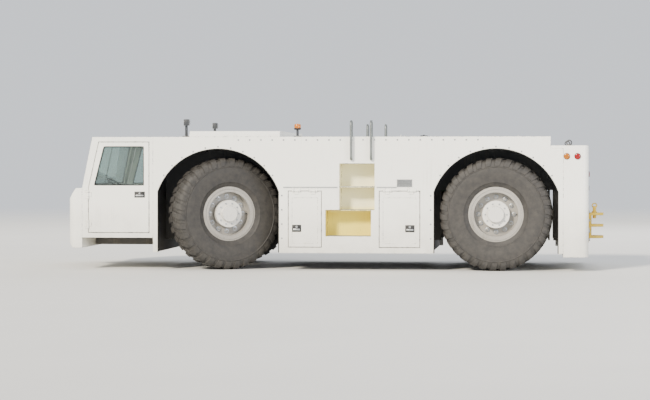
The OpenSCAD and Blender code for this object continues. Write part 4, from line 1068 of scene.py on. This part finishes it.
def add_handle(name, body, place, width, height):
    """A lever over a dark pan: the pan stands on the place's plane, the lever crosses it."""
    piece = Piece(name)
    pan = block((-width / 2, -height / 2, -0.002), (width / 2, height / 2, 0.005), 0.004)
    piece.add(pan, "plastic", place)
    piece.add(block((-width * 0.38, -height * 0.30, 0.004), (width * 0.38, -height * 0.05, 0.016), 0.004),
              "zinc", place)
    piece.add(disc(height * 0.16, 0.012), "zinc", place @ Matrix.Translation((0, height * 0.22, 0.002)))
    piece.make(body, "black_plastic")


for side, name in SIDES:
    handle_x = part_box("cab_door_" + name)[0].x + HANDLE_X
    add_handle("cab_door_handle_" + name, "cab_door_" + name,
               facing((handle_x, side * half_width, HANDLE_Z), (0, side, 0)), 0.15, 0.085)
    for end, x in LATCH_X.items():
        add_handle("locker_latch_%s_%s" % (name, end), "locker_door_%s_%s" % (name, end),
                   facing((x, side * (half_width - LATCH_INSET), LATCH_Z), (0, side, 0)), 0.13, 0.10)

# %% Side vents
VENT_X, VENT_Z = -1.115, 1.225  # metres: the vent's middle, from the photograph
VENT_W, VENT_H, VENT_RIM = 0.105, 0.052, 0.010  # metres: half width, half height, width and height of the rim
VENT_SLATS, SLAT_PITCH = 5, 0.017
vents = Piece("side_vents")
for side, _ in SIDES:
    place = facing((VENT_X, side * half_width, VENT_Z), (0, side, 0))
    inner_w, inner_h = VENT_W - VENT_RIM, VENT_H - VENT_RIM
    for low, high in (((-VENT_W, inner_h, 0), (VENT_W, VENT_H, VENT_RIM)),  # the rim's four bars
                      ((-VENT_W, -VENT_H, 0), (VENT_W, -inner_h, VENT_RIM)),
                      ((-VENT_W, -VENT_H, 0), (-inner_w, VENT_H, VENT_RIM)),
                      ((inner_w, -VENT_H, 0), (VENT_W, VENT_H, VENT_RIM)),
                      ((-0.1, -0.047, 0), (0.1, 0.047, 0.0015))):  # the sheet behind the slats
        vents.add(block(low, high, 0.001, 1), "fins", place)
    slat = block((-0.096, -0.040, 0.001), (0.096, -0.036, 0.011), 0.001, 1)
    slat.transform(Matrix.Rotation(math.radians(-25), 4, "X"))
    vents.row(slat, VENT_SLATS, "fins", place, shift=(0.0, SLAT_PITCH, 0.0))
vents.make("root", "bare_steel")

# %% [markdown]
# ## Bolts, arch rubbers and louvre hoods
#
# The side plates are bolted to the frame so that they can come off after a knock. A row of flanged bolts
# runs under the deck's edge, and another follows each wheel arch. The arches carry a rubber lip that
# keeps spray off the plates. On the hood, each slot has a pressed hood that sheds rain.

# %% Bolts along the side plates
ARCH_GAP = 0.125  # metres from the tread to the arch
ARCH_FLAT = 0.055  # metres by which the arch's upright sides lie inside its circle
EDGE_ROW, EDGE_PITCH = 0.045, 0.16  # metres: the row's depth below the deck, and its pitch
EDGE_START, EDGE_END = 0.25, 0.20  # metres from the rear axle and from the front one
EDGE_BOLTS, TOP_GAP = 27, 0.02  # bolts in the row at most; metres below the deck's top that stay free
ARCH_ROW, ARCH_PITCH = 0.030, 11  # metres outside the arch, and degrees from bolt to bolt
UPRIGHT_ROW = (0.45, 0.65, 0.85, 1.05)  # metres above the ground, beside the arch's upright sides
UPRIGHT_OFF = 0.045  # metres from those sides
arch_radius = tyre_radius + ARCH_GAP
arch_half = arch_radius - ARCH_FLAT
hub_height = tyre_radius


def round_arch(axle_x, reach, turn_to, y):
    """A point at a reach from a wheel's middle, turned from level ahead."""
    return axle_x + reach * math.cos(turn_to), y, hub_height + reach * math.sin(turn_to)


places = []
for side, _ in SIDES:
    y, looks = side * half_width, (0, side, 0)
    row = [rear_axle_x + EDGE_START + EDGE_PITCH * i for i in range(EDGE_BOLTS)]
    places += [((x, y, deck_top - EDGE_ROW), looks) for x in row if x < front_axle_x - EDGE_END]
    for axle_x in (front_axle_x, rear_axle_x):
        places += [(round_arch(axle_x, arch_radius + ARCH_ROW, math.radians(90 + k * ARCH_PITCH), y), looks)
                   for k in range(-5, 6)]
    places += [((x, y, z), looks) for z in UPRIGHT_ROW
               for x in (front_axle_x - arch_half - UPRIGHT_OFF, rear_axle_x + arch_half + UPRIGHT_OFF)]
places = [(p, n) for p, n in places if p[2] < deck_top - TOP_GAP]
bolts = Piece("side_plate_bolts")
bolts.stand(disc(0.012, 0.0025, edge=0.0008, segments=12), places, "zinc", 3)
bolts.stand(hexagon(0.013, 0.008, edge=0), places, "zinc", 5)
bolts.make("root", "bare_steel")
print("bolts:", len(places))

# %% Arch rubbers
LIP_INSET = 0.004  # metres from the plate's outer face, and from its lower edge
ARC_STEPS = 48
arc_start = math.acos(arch_half / arch_radius)
arc = [math.pi - arc_start - (math.pi - 2 * arc_start) * k / ARC_STEPS for k in range(ARC_STEPS + 1)]
lips = Piece("arch_rubbers")
for side, _ in SIDES:
    y, foot_z = side * (half_width - LIP_INSET), plate_low.z + LIP_INSET
    for axle_x in (front_axle_x, rear_axle_x):
        path = [round_arch(axle_x, arch_radius, a, y) for a in arc]
        path = [(axle_x - arch_half, y, foot_z)] + path + [(axle_x + arch_half, y, foot_z)]
        lips.add(tube(path, 0.008, 8), "gasket")
lips.make("root", "black_plastic")

# %% Louvre hoods
HOOD_LENGTH = 1.774  # metres between the hood's edges
LOUVRES = 9  # slots in each bank
BANK_START, BANK_MARGINS = 0.150, 0.284  # metres: rear edge to first slot, and what no slot takes
BANK_WIDTH, LOUVRE_LAP = 0.70, 0.004  # share of the hood's half width; metres behind the slot's edge
GRIP_Y, GRIP_BACK = 0.45, 0.10  # metres: a lifting grip's Y, and how far behind the front edge
LOUVRE_SECTION = [(0.0, 0.0), (0.0, 0.016), (0.020, 0.014), (0.045, 0.008), (0.066, 0.001), (0.066, -0.001),
                  (0.044, 0.005), (0.020, 0.011), (0.003, 0.013), (0.003, 0.0)]
hood_low, hood_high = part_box("engine_hood")
bank_start = hood_high.x - HOOD_LENGTH + BANK_START
bank_pitch = (HOOD_LENGTH - BANK_MARGINS) / LOUVRES
half_hood = (hood_high.y - hood_low.y) / 2
louvres = Piece("hood_louvres")
for side, _ in SIDES:
    cover = plate(LOUVRE_SECTION, half_hood * BANK_WIDTH)
    cover.transform(Matrix.Rotation(math.pi / 2, 4, "X"))
    cover.transform(Matrix.Translation((-LOUVRE_LAP, half_hood * BANK_WIDTH / 2, 0)))
    louvres.row(cover, LOUVRES, "white", Matrix.Translation((bank_start, side * half_hood * 0.5, deck_top)),
                shift=(bank_pitch, 0.0, 0.0), smooth=False)
for y in (-GRIP_Y, GRIP_Y):
    bow = [(hood_high.x - GRIP_BACK, y + across, deck_top + up)
           for across, up in ((-0.07, 0.0), (-0.06, 0.035), (0.06, 0.035), (0.07, 0.0))]
    louvres.add(tube(bow, 0.006), "zinc")
louvres.make("engine_hood", "white_paint")

# %% [markdown]
# ## Treads
#
# Feet stand on ribbed aluminium planks in the step boxes. The ribs run across the way a foot slips.

# %% Ribbed treads
STEPS = [(-0.325, 0.60, 0.480)]  # metres: middle X, width and floor of the lower box
STEPS += [(-0.449, 0.46, riser) for riser in (0.850, 1.175)]  # and of the two boxes in the column
RIBS, RIB_PITCH, TREAD_INSET = 9, 0.022, 0.045  # number, and metres: rib to rib, plate to first rib
treads = Piece("ribbed_treads")
for side, _ in SIDES:
    for middle_x, width, tread_z in STEPS:
        rib = block((-width / 2, -0.004, 0), (width / 2, 0.004, 0.005), 0.0015, 1)
        front = Matrix.Translation((middle_x, side * (half_width - TREAD_INSET), tread_z + 0.0005))
        treads.row(rib, RIBS, "fins", front, shift=(0.0, -side * RIB_PITCH, 0.0))
treads.make("root", "bare_steel")

# %% [markdown]
# ## Hitch bolts
#
# The tow jaws take the whole pull of a tow, so their back plates are held by eight large bolts each.

# %% Hitch bolts
BACK_PLATE = 0.035  # metres: the back plate stands this far off the body
BOLT_Y, BOLT_Z = 0.155, (0.40, 0.52, 0.68, 0.80)
hitch_bolts = Piece("hitch_bolts")
for back, face in ((nose_face + BACK_PLATE, 1), (tail_face - BACK_PLATE, -1)):
    places = [((back, y, z), (face, 0, 0)) for y in (-BOLT_Y, BOLT_Y) for z in BOLT_Z]
    hitch_bolts.stand(disc(0.026, 0.004), places, "zinc", 11)
    hitch_bolts.stand(hexagon(0.036, 0.018), places, "zinc", 7)
hitch_bolts.make("root", "bare_steel")

# %% [markdown]
# ## Body trim
#
# A half-round drip strip runs along each side above the lockers and keeps rain out of their hinges. The
# ballast block is bolted from behind with four large bolts and carries two lifting eyes on its top. The
# fuel filler stands on the deck beside the hood, with a vented cap.

# %% Drip strips, ballast bolts and filler
STRIP_Z = 1.165  # metres above the ground, from the photograph
STRIP_RUNS = ((0.590, -0.175), (-0.725, -1.005))  # metres: X where each strip starts and ends
BALLAST_BOLT_Y, BALLAST_BOLT_Z = 0.62, (0.55, 1.15)  # metres
EYE_Y, EYE_X, EYE_RADIUS = 0.75, 0.26, 0.034  # metres: from the middle, from the tail, the ring's
FILLER_X, FILLER_Y = -1.25, -1.13  # metres
trim = Piece("body_trim")
for side, _ in SIDES:
    y = side * (half_width + 0.001)
    for start, end in STRIP_RUNS:
        trim.add(tube([(start, y, STRIP_Z), (end, y, STRIP_Z)], 0.009, 12), "zinc")
places = [((tail_face, y, z), (-1, 0, 0)) for y in (-BALLAST_BOLT_Y, BALLAST_BOLT_Y) for z in BALLAST_BOLT_Z]
trim.stand(disc(0.046, 0.006), places, "zinc", 21)
trim.stand(hexagon(0.065, 0.030), places, "zinc", 22)
for y in (-EYE_Y, EYE_Y):
    at = Matrix.Translation((tail_face + EYE_X, y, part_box("rear_block")[1].z))
    trim.add(disc(0.042, 0.014), "chassis", at)
    ring = [(EYE_RADIUS * math.sin(a), 0, 0.045 - EYE_RADIUS * math.cos(a))
            for a in (2 * math.pi * k / 24 for k in range(24))]
    trim.add(tube(ring, 0.009, 10, closed=True), "chassis", at)
filler = Matrix.Translation((FILLER_X, FILLER_Y, deck_top))
trim.add(turned([(0.062, 0.0), (0.062, 0.006), (0.052, 0.010), (0.052, 0.022)], 32), "chassis", filler)
trim.add(turned([(0.058, 0.020), (0.058, 0.044), (0.052, 0.050), (0.020, 0.053)], 32), "plastic", filler)
trim.add(block((-0.006, -0.045, 0.050), (0.006, 0.045, 0.064), 0.004), "plastic", filler)
trim.make("root", "bare_steel")

# %% [markdown]
# ## The air outlet
#
# Behind the radiator the warm air leaves over the ballast block, under the deck's rear edge. Slats
# pressed at an angle close that slot to rain, and uprights carry them.

# %% Air outlet
SLATS, UPRIGHTS = 4, 7
OUTLET_LAP, OUTLET_GAP = 0.010, 0.003  # metres below the ballast block's top, inboard of the deck's side
SLAT_WIDTH, SLAT_T, UPRIGHT_HALF = 0.022, 0.003, 0.005
outlet_low, outlet_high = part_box("rear_block")[1].z - OUTLET_LAP, deck_low.z
outlet_half, outlet_tall = deck_high.y - OUTLET_GAP, outlet_high - outlet_low
outlet = Piece("air_outlet")
slat = block((0, -outlet_half, -SLAT_T / 2), (SLAT_WIDTH, outlet_half, SLAT_T / 2), 0.001, 1)
slat.transform(Matrix.Rotation(math.radians(-35), 4, "Y"))
outlet.row(slat, SLATS, "white", Matrix.Translation((deck_low.x + 0.001, 0, outlet_low + 0.004)),
           shift=(0.0, 0.0, outlet_tall / SLATS))
upright = block((0.006, -UPRIGHT_HALF, 0.0005), (0.026, UPRIGHT_HALF, outlet_tall - 0.0005), 0.002)
outlet.row(upright, UPRIGHTS, "white",
           Matrix.Translation((deck_low.x, UPRIGHT_HALF - outlet_half, outlet_low)),
           shift=(0.0, 2 * (outlet_half - UPRIGHT_HALF) / (UPRIGHTS - 1), 0.0))
outlet.make("root", "white_paint")

# %% [markdown]
# ## The engine
#
# With the hood up one looks down on an in-line six: a cast block on four rubber feet, a ribbed sump, one
# long rocker cover, six intake runners from a plenum on the left, a log manifold with its turbocharger on
# the right, and a canister air cleaner. It stands for the plain block of the CAD, and stays inside it.

# %% Engine
CYLINDERS, BORE_PITCH = 6, 0.135  # metres from one cylinder to the next
CASTINGS = (  # from the rear end, from the front end, half width, bottom, top, edge, finish
    (0.10, 0.14, 0.17, 0.000, 0.170, 0.030, "chassis"),  # sump
    (0.04, 0.06, 0.23, 0.160, 0.460, 0.016, "engine"),  # crankcase
    (0.06, 0.08, 0.17, 0.455, 0.590, 0.008, "engine"),  # cylinder head
    (0.08, 0.10, 0.105, 0.585, 0.690, 0.030, "cast"))  # rocker cover
MANIFOLDS = (  # one branch, its radius; the log's side, height, gap to the front end and radius
    ([(0, 0.15, 0.53), (0, 0.20, 0.55), (0, 0.245, 0.60), (0, 0.25, 0.64)], 0.022,
     0.25, 0.665, 0.11, 0.044),  # intake
    ([(0, -0.15, 0.52), (0, -0.205, 0.52), (0.03, -0.245, 0.50)], 0.021,
     -0.26, 0.50, 0.13, 0.036))  # exhaust
VOLUTE = [(0.030, 0.0), (0.070, 0.006), (0.088, 0.030), (0.086, 0.058), (0.062, 0.078), (0.034, 0.082),
          (0.034, 0.104)]
CANISTER = [(0.060, 0.0), (0.088, 0.012), (0.090, 0.30), (0.078, 0.315), (0.020, 0.320)]
FOOT_LENGTH, FOOT_LOW, FOOT_HIGH = 0.120, 0.080, 0.140
engine_low, engine_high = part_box("engine_block")
rear, fore, base_z = engine_low.x, engine_high.x, engine_low.z
first = rear + 0.13  # the rearmost cylinder
pitch = (BORE_PITCH, 0.0, 0.0)
engine = Piece("in_line_six_engine")
for back, front, half, low, high, edge, finish in CASTINGS:
    engine.add(block((rear + back, -half, base_z + low), (fore - front, half, base_z + high), edge, 3),
               finish)
for side, _ in SIDES:
    rib = block((-0.006, -0.012, 0), (0.006, 0.012, 0.26), 0.004)
    engine.row(rib, CYLINDERS + 1, "engine",
               Matrix.Translation((first - BORE_PITCH / 2, side * 0.234, base_z + 0.18)), shift=pitch)
for branch, radius, y, z, gap, log_radius in MANIFOLDS:
    engine.row(tube(branch, radius, 12), CYLINDERS, "cast", Matrix.Translation((first, 0, base_z)),
               shift=pitch)
    engine.add(tube([(first - 0.05, y, base_z + z), (fore - gap, y, base_z + z)], log_radius, 20), "cast")
turbo = Vector((first + 2.5 * BORE_PITCH, -0.29, base_z + 0.62))
engine.add(turned(VOLUTE, 32), "cast", facing(turbo, (1, 0, 0)))
engine.add(turned(VOLUTE, 32), "fins", facing(turbo, (-1, 0, 0)))
engine.add(tube([turbo + Vector((0.05, 0, -0.02)), turbo + Vector((0.05, 0.02, -0.10))], 0.030, 16), "cast")
engine.add(turned(CANISTER, 36), "plastic", facing((rear + 0.55, 0.26, base_z + 0.33), (1, 0, 0)))
places = [((x, y, base_z + 0.690), (0, 0, 1))
          for x in (rear + 0.14, rear + 0.48, fore - 0.16) for y in (-0.06, 0.06)]
engine.stand(hexagon(0.020, 0.010), places, "zinc", 31)
for x in (rear + FOOT_LENGTH, fore - 2 * FOOT_LENGTH):
    for side, _ in SIDES:
        inner, outer = sorted((side * 0.20, side * (engine_high.y - 0.03)))
        engine.add(block((x, inner, base_z + FOOT_LOW), (x + FOOT_LENGTH, outer, base_z + FOOT_HIGH), 0.008),
                   "chassis")
        inner, outer = sorted((side * (engine_high.y - 0.06), side * engine_high.y))
        engine.add(block((x + 0.02, inner, base_z + FOOT_LOW + 0.005),
                         (x + FOOT_LENGTH - 0.02, outer, base_z + FOOT_HIGH - 0.005), 0.006), "gasket")
engine.make("root", "cast_engine", ["engine_block"])

# %% [markdown]
# ## The cab's inside
#
# Through the glass one sees two sprung seats, a ribbed rubber mat, a dashboard with three round gauges
# and a row of switches, a wheel with a moulded rim, a gear lever and two pedals. The seats' cushions are
# foam under vinyl: each starts as a closed form a little smaller than the real one, and a short cloth
# simulation blows it up against its own skin, so the sides pull in between the corners as upholstery
# does.

# %% Upholstery
VOXEL = 0.012  # metres: half of it after the subdivision is finer than a seam's shadow
PRESSURE, STUFFING_FRAMES = 4.0, 20  # how hard and how long the cloth is blown up
SWELL = 0.010  # metres: no point of the skin moves further than this
CHANNELS = (-0.25, 0.0, 0.25)  # shares of a cushion's width at which it is sewn through
CHANNEL_END = 0.42  # share of a cushion's length at which the channels end
CHANNEL_DEPTH = 0.006  # metres by which a sewn channel draws the skin in
CHANNEL_WIDTH = 0.007  # metres from a channel's middle to where the skin is most of the way up again
WELT_INSET, WELT_TURN = 0.008, 0.05  # metres: the welt's place inside the size, its corners' radius
CUSHIONS = (  # size, middle from the seat's foot, lean in degrees: the cushion, then the back
    ((0.430, 0.460, 0.105), (0.290, 0, 0.315), -3),
    ((0.560, 0.450, 0.095), (0.082, 0, 0.665), 86))


def cushion_form(size):
    """A closed pillow form: a fine box whose faces crown and whose edges are drawn in between the corners."""
    part = bmesh.new()
    bmesh.ops.create_cube(part, size=1.0)
    bmesh.ops.subdivide_edges(part, edges=part.edges, cuts=11, use_grid_fill=True)
    for vertex in part.verts:
        u, v, w = (2 * c for c in vertex.co)
        crown = 0.88 - 0.16 * max(abs(u), abs(v)) ** 4
        vertex.co = Vector((u * size[0] / 2 * (0.97 + 0.03 * abs(v) ** 3 - 0.05 * w ** 2),
                            v * size[1] / 2 * (0.97 + 0.03 * abs(u) ** 3 - 0.05 * w ** 2),
                            w * size[2] / 2 * crown))
    return part


def evaluated(obj):
    """The object's mesh after its modifiers, which are then removed; the object keeps the new mesh."""
    fresh = bpy.data.meshes.new_from_object(obj.evaluated_get(bpy.context.evaluated_depsgraph_get()))
    obj.modifiers.clear()
    old, obj.data = obj.data, fresh
    bpy.data.meshes.remove(old)
    return fresh


def upholstered(size):
    """Blows a form up with Cloth and pressure, holds each point within SWELL, and sews the channels."""
    form = loose_object(cushion_form(size), "cushion_helper")
    remesh = form.modifiers.new("voxels", "REMESH")
    remesh.mode, remesh.voxel_size = "VOXEL", VOXEL
    start = [v.co.copy() for v in evaluated(form).vertices]
    cloth = form.modifiers.new("stuffing", "CLOTH")
    cloth.settings.use_pressure = True
    cloth.settings.uniform_pressure_force = PRESSURE
    cloth.settings.effector_weights.gravity = 0.0
    for frame_number in range(1, STUFFING_FRAMES + 1):
        bpy.context.scene.frame_set(frame_number)
    for vertex, origin in zip(evaluated(form).vertices, start):
        move = vertex.co - origin
        vertex.co = origin + move * min(1.0, SWELL / max(move.length, 1e-9))
    bpy.context.scene.frame_set(1)
    form.modifiers.new("smooth", "SUBSURF").levels = 1
    for vertex in evaluated(form).vertices:
        if vertex.co.z > 0 and abs(vertex.co.x) <= size[0] * CHANNEL_END:
            nearest = min(abs(vertex.co.y - line * size[1]) for line in CHANNELS)
            vertex.co.z -= CHANNEL_DEPTH * math.exp(-(nearest / CHANNEL_WIDTH) ** 2)
    pattern = form.data.copy()
    dropped(form)
    return pattern


def add_cushion(piece, size, place):
    """One cushion with the welt round its widest line."""
    part = bmesh.new()
    part.from_mesh(patterns[size])
    piece.add(part, "vinyl", place)
    x, y = size[0] / 2 - WELT_INSET, size[1] / 2 - WELT_INSET
    corners = [Vector(c) for c in ((-x, -y, 0), (x, -y, 0), (x, y, 0), (-x, y, 0))]
    piece.add(tube(rounded_loop(corners, WELT_TURN, 6), 0.005, 6, closed=True), "gasket", place)


# %% Seats
patterns = {size: upholstered(size) for size, _, _ in CUSHIONS}
floor_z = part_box("seats")[0].z
for name, (low, high) in zip(("right", "left"), islands("seats")):
    foot = Vector((low.x, (low.y + high.y) / 2, floor_z))
    cushions = Piece("seat_cushions_" + name)
    for size, off, lean_by in CUSHIONS:
        add_cushion(cushions, size, Matrix.Translation(foot + Vector(off))
                    @ Matrix.Rotation(math.radians(lean_by), 4, "Y"))
    cushions.make("root", "seat_vinyl", ["seats"])
    base, at = Piece("seat_base_" + name), Matrix.Translation(foot)
    base.row(block((-0.15, -0.17, 0), (0.15, 0.17, 0.030), 0.012, 3), 6, "gasket",
             Matrix.Translation(foot + Vector((0.27, 0, 0.030))), shift=(0.0, 0.0, 0.032))
    base.add(block((0.08, -0.19, 0.001), (0.44, 0.19, 0.028), 0.006), "chassis", at)
    base.add(block((0.07, -0.21, 0.222), (0.48, 0.21, 0.255), 0.008), "chassis", at)
    base.make("root", "frame_paint", ["seats"])
print("seats: cushions of", [len(p.polygons) for p in patterns.values()], "faces")

# %% Floor mat
MAT_T, MAT_RIBS, RIB_EDGE = 0.004, 28, 0.030  # metres, number, metres from the mat's edge to its ribs
BACK_GAP, FRONT_GAP, SIDE_GAP = 0.075, 0.130, 0.10  # metres from the cab's faces to the mat
cab_low, cab_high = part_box("cab_shell")
mat_back, mat_front, mat_half = cab_low.x + BACK_GAP, cab_high.x - FRONT_GAP, half_width - SIDE_GAP
mat = Piece("cab_floor_mat")
mat.add(block((mat_back, -mat_half, floor_z + 0.0005), (mat_front, mat_half, floor_z + MAT_T), 0.0015),
        "gasket")
mat.row(block((0, RIB_EDGE - mat_half, 0), (0.008, mat_half - RIB_EDGE, 0.004), 0.0015, 1), MAT_RIBS,
        "gasket", Matrix.Translation((mat_back + 0.026, 0, floor_z + MAT_T - 0.0005)),
        shift=((mat_front - mat_back - 2 * RIB_EDGE) / (MAT_RIBS - 1), 0.0, 0.0))
mat.make("root", "black_plastic")
print("mat:", round(mat_front - mat_back, 3), "m from back to front")

# %% Dashboard and controls
PANEL_X, PANEL_Z, PANEL_LOOKS = 3.165, 1.088, (-0.86, 0, 0.50)  # the dashboard's sloping face
GAUGES = ((-0.13, 0.040), (0.0, 0.050), (0.13, 0.040))  # metres: place along the panel, radius
SWITCHES, SWITCH_PITCH, SWITCHES_Y = 8, 0.036, -0.30
PEDAL_OFF, PEDAL_Z, PEDAL_LOOKS = 0.10, 0.60, (-0.77, 0, 0.64)  # each side of the wheel's middle, height
LEVER = [(2.86, 0.33, 0.002), (2.86, 0.33, 0.18), (2.84, 0.34, 0.36)]  # metres, height above the floor
wheel_low, wheel_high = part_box("steering_wheel")
wheel_y = (wheel_low.y + wheel_high.y) / 2
pedal_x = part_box("dashboard")[0].x
controls = Piece("dashboard_controls")
panel = facing((PANEL_X, wheel_y, PANEL_Z), PANEL_LOOKS)
controls.add(block((-0.20, -0.065, -0.004), (0.20, 0.065, 0.006), 0.006), "plastic", panel)
for x, radius in GAUGES:
    at = panel @ Matrix.Translation((x, 0, 0.006))
    controls.add(turned(bead(radius - 0.006, 0.003, 0.006, 0.005, 8), 32, loop=True), "zinc", at)
    controls.add(disc(radius - 0.006, 0.003), "plastic", at)
    controls.add(block((-0.002, -0.004, 0.003), (0.002, radius * 0.7, 0.005), 0.0005, 1), "red", at)
controls.row(block((-0.012, -0.018, 0), (0.012, 0.018, 0.010), 0.003), SWITCHES, "plastic",
             facing((PANEL_X, SWITCHES_Y, PANEL_Z), PANEL_LOOKS) @ Matrix.Translation((-0.13, 0, 0)),
             shift=(SWITCH_PITCH, 0.0, 0.0))
for y in (wheel_y - PEDAL_OFF, wheel_y + PEDAL_OFF):
    controls.add(block((-0.045, -0.06, 0), (0.045, 0.06, 0.012), 0.005), "gasket",
                 facing((pedal_x + 0.06, y, PEDAL_Z), PEDAL_LOOKS))
    stalk = [(pedal_x + 0.065, y, PEDAL_Z), (pedal_x + 0.13, y, 0.70), (pedal_x + 0.15, y, 0.83)]
    controls.add(tube(stalk, 0.009), "chassis")
lever = [(x, y, floor_z + z) for x, y, z in LEVER]
controls.add(tube(lever, 0.009), "zinc")
controls.add(turned([(0.010, 0.0), (0.022, 0.012), (0.026, 0.030), (0.020, 0.048), (0.006, 0.054)], 24),
             "plastic", Matrix.Translation(lever[-1]))
controls.make("root", "black_plastic")

# %% [markdown]
# ## The floor and the light
#
# A plain pale floor that fades into an even sky, so no edge shows behind the tractor. The key is a wide
# sun from the side that it came from in the photograph, high on the camera's left, since it lights near
# and far alike. A large soft lamp fills the shadows from the tail, and another picks out the top edges
# from behind.

# %% Floor
FADE_START, FADE_END = 13.0, 42.0  # metres from the tractor between which the floor fades out
FLOOR_HALF = 60.0  # metres from the tractor to the floor's edge


def floor_finish():
    """Pale screed that turns transparent with its distance from the tractor."""
    material, tree, shader, place = start_finish("pale_studio_floor", Roughness=0.85,
                                                 Specular_IOR_Level=0.2)
    clouds = add(tree, "ShaderNodeTexNoise", {"Vector": place, "Scale": 0.6, "Detail": 5.0}).outputs[0]
    mixed = add(tree, "ShaderNodeMix", {0: clouds, 6: paint("#DAD9D5"), 7: paint("#D3D2CE")},
                data_type="RGBA").outputs[2]
    tree.links.new(mixed, shader.inputs["Base Color"])
    away = add(tree, "ShaderNodeVectorMath", {0: place}, operation="LENGTH").outputs["Value"]
    faded = add(tree, "ShaderNodeMapRange", {"Value": away, "From Min": FADE_START, "From Max": FADE_END},
                interpolation_type="SMOOTHSTEP").outputs[0]
    clear = add(tree, "ShaderNodeBsdfTransparent").outputs[0]
    both = add(tree, "ShaderNodeMixShader", {0: faded, 1: shader.outputs[0], 2: clear}).outputs[0]
    output = next(n for n in tree.nodes if n.bl_idname == "ShaderNodeOutputMaterial")
    tree.links.new(both, output.inputs["Surface"])
    return material


floor_mesh = bpy.data.meshes.new("floor")
floor_mesh.from_pydata([(x * FLOOR_HALF, y * FLOOR_HALF, 0) for x, y in ((-1, -1), (1, -1), (1, 1), (-1, 1))],
                       [], [(0, 1, 2, 3)])
floor = put("floor", floor_mesh)
floor_mesh.materials.append(floor_finish())


# %% Lights
def lamp(name, kind, place, power, colour, **settings):
    """A lamp at a place that looks at the tractor's middle."""
    data = bpy.data.lights.new(name, kind)
    data.energy = power
    data.color = paint(colour)[:3]
    for setting, value in settings.items():
        setattr(data, setting, value)
    made = put(name, data)
    made.location = place
    made.rotation_euler = (middle - Vector(place)).to_track_quat("-Z", "Y").to_euler()


lamp("key", "SUN", (9.0, 17.0, 13.0), 6.4, "#FFF5E4", angle=math.radians(11))
lamp("fill", "AREA", (-14.0, 14.0, 5.0), 1800.0, "#F4F6FF", size=9.0)
lamp("back", "AREA", (-4.0, -16.0, 12.0), 1600.0, "#F4F6FF", size=9.0)

world = bpy.data.worlds.new("studio_sky")
world.use_nodes = True
sky = world.node_tree
sky.nodes.clear()
air = add(sky, "ShaderNodeBackground", {"Color": paint("#E6EAF0"), "Strength": 1.2})
add(sky, "ShaderNodeOutputWorld", {"Surface": air.outputs[0]})
bpy.context.scene.world = world
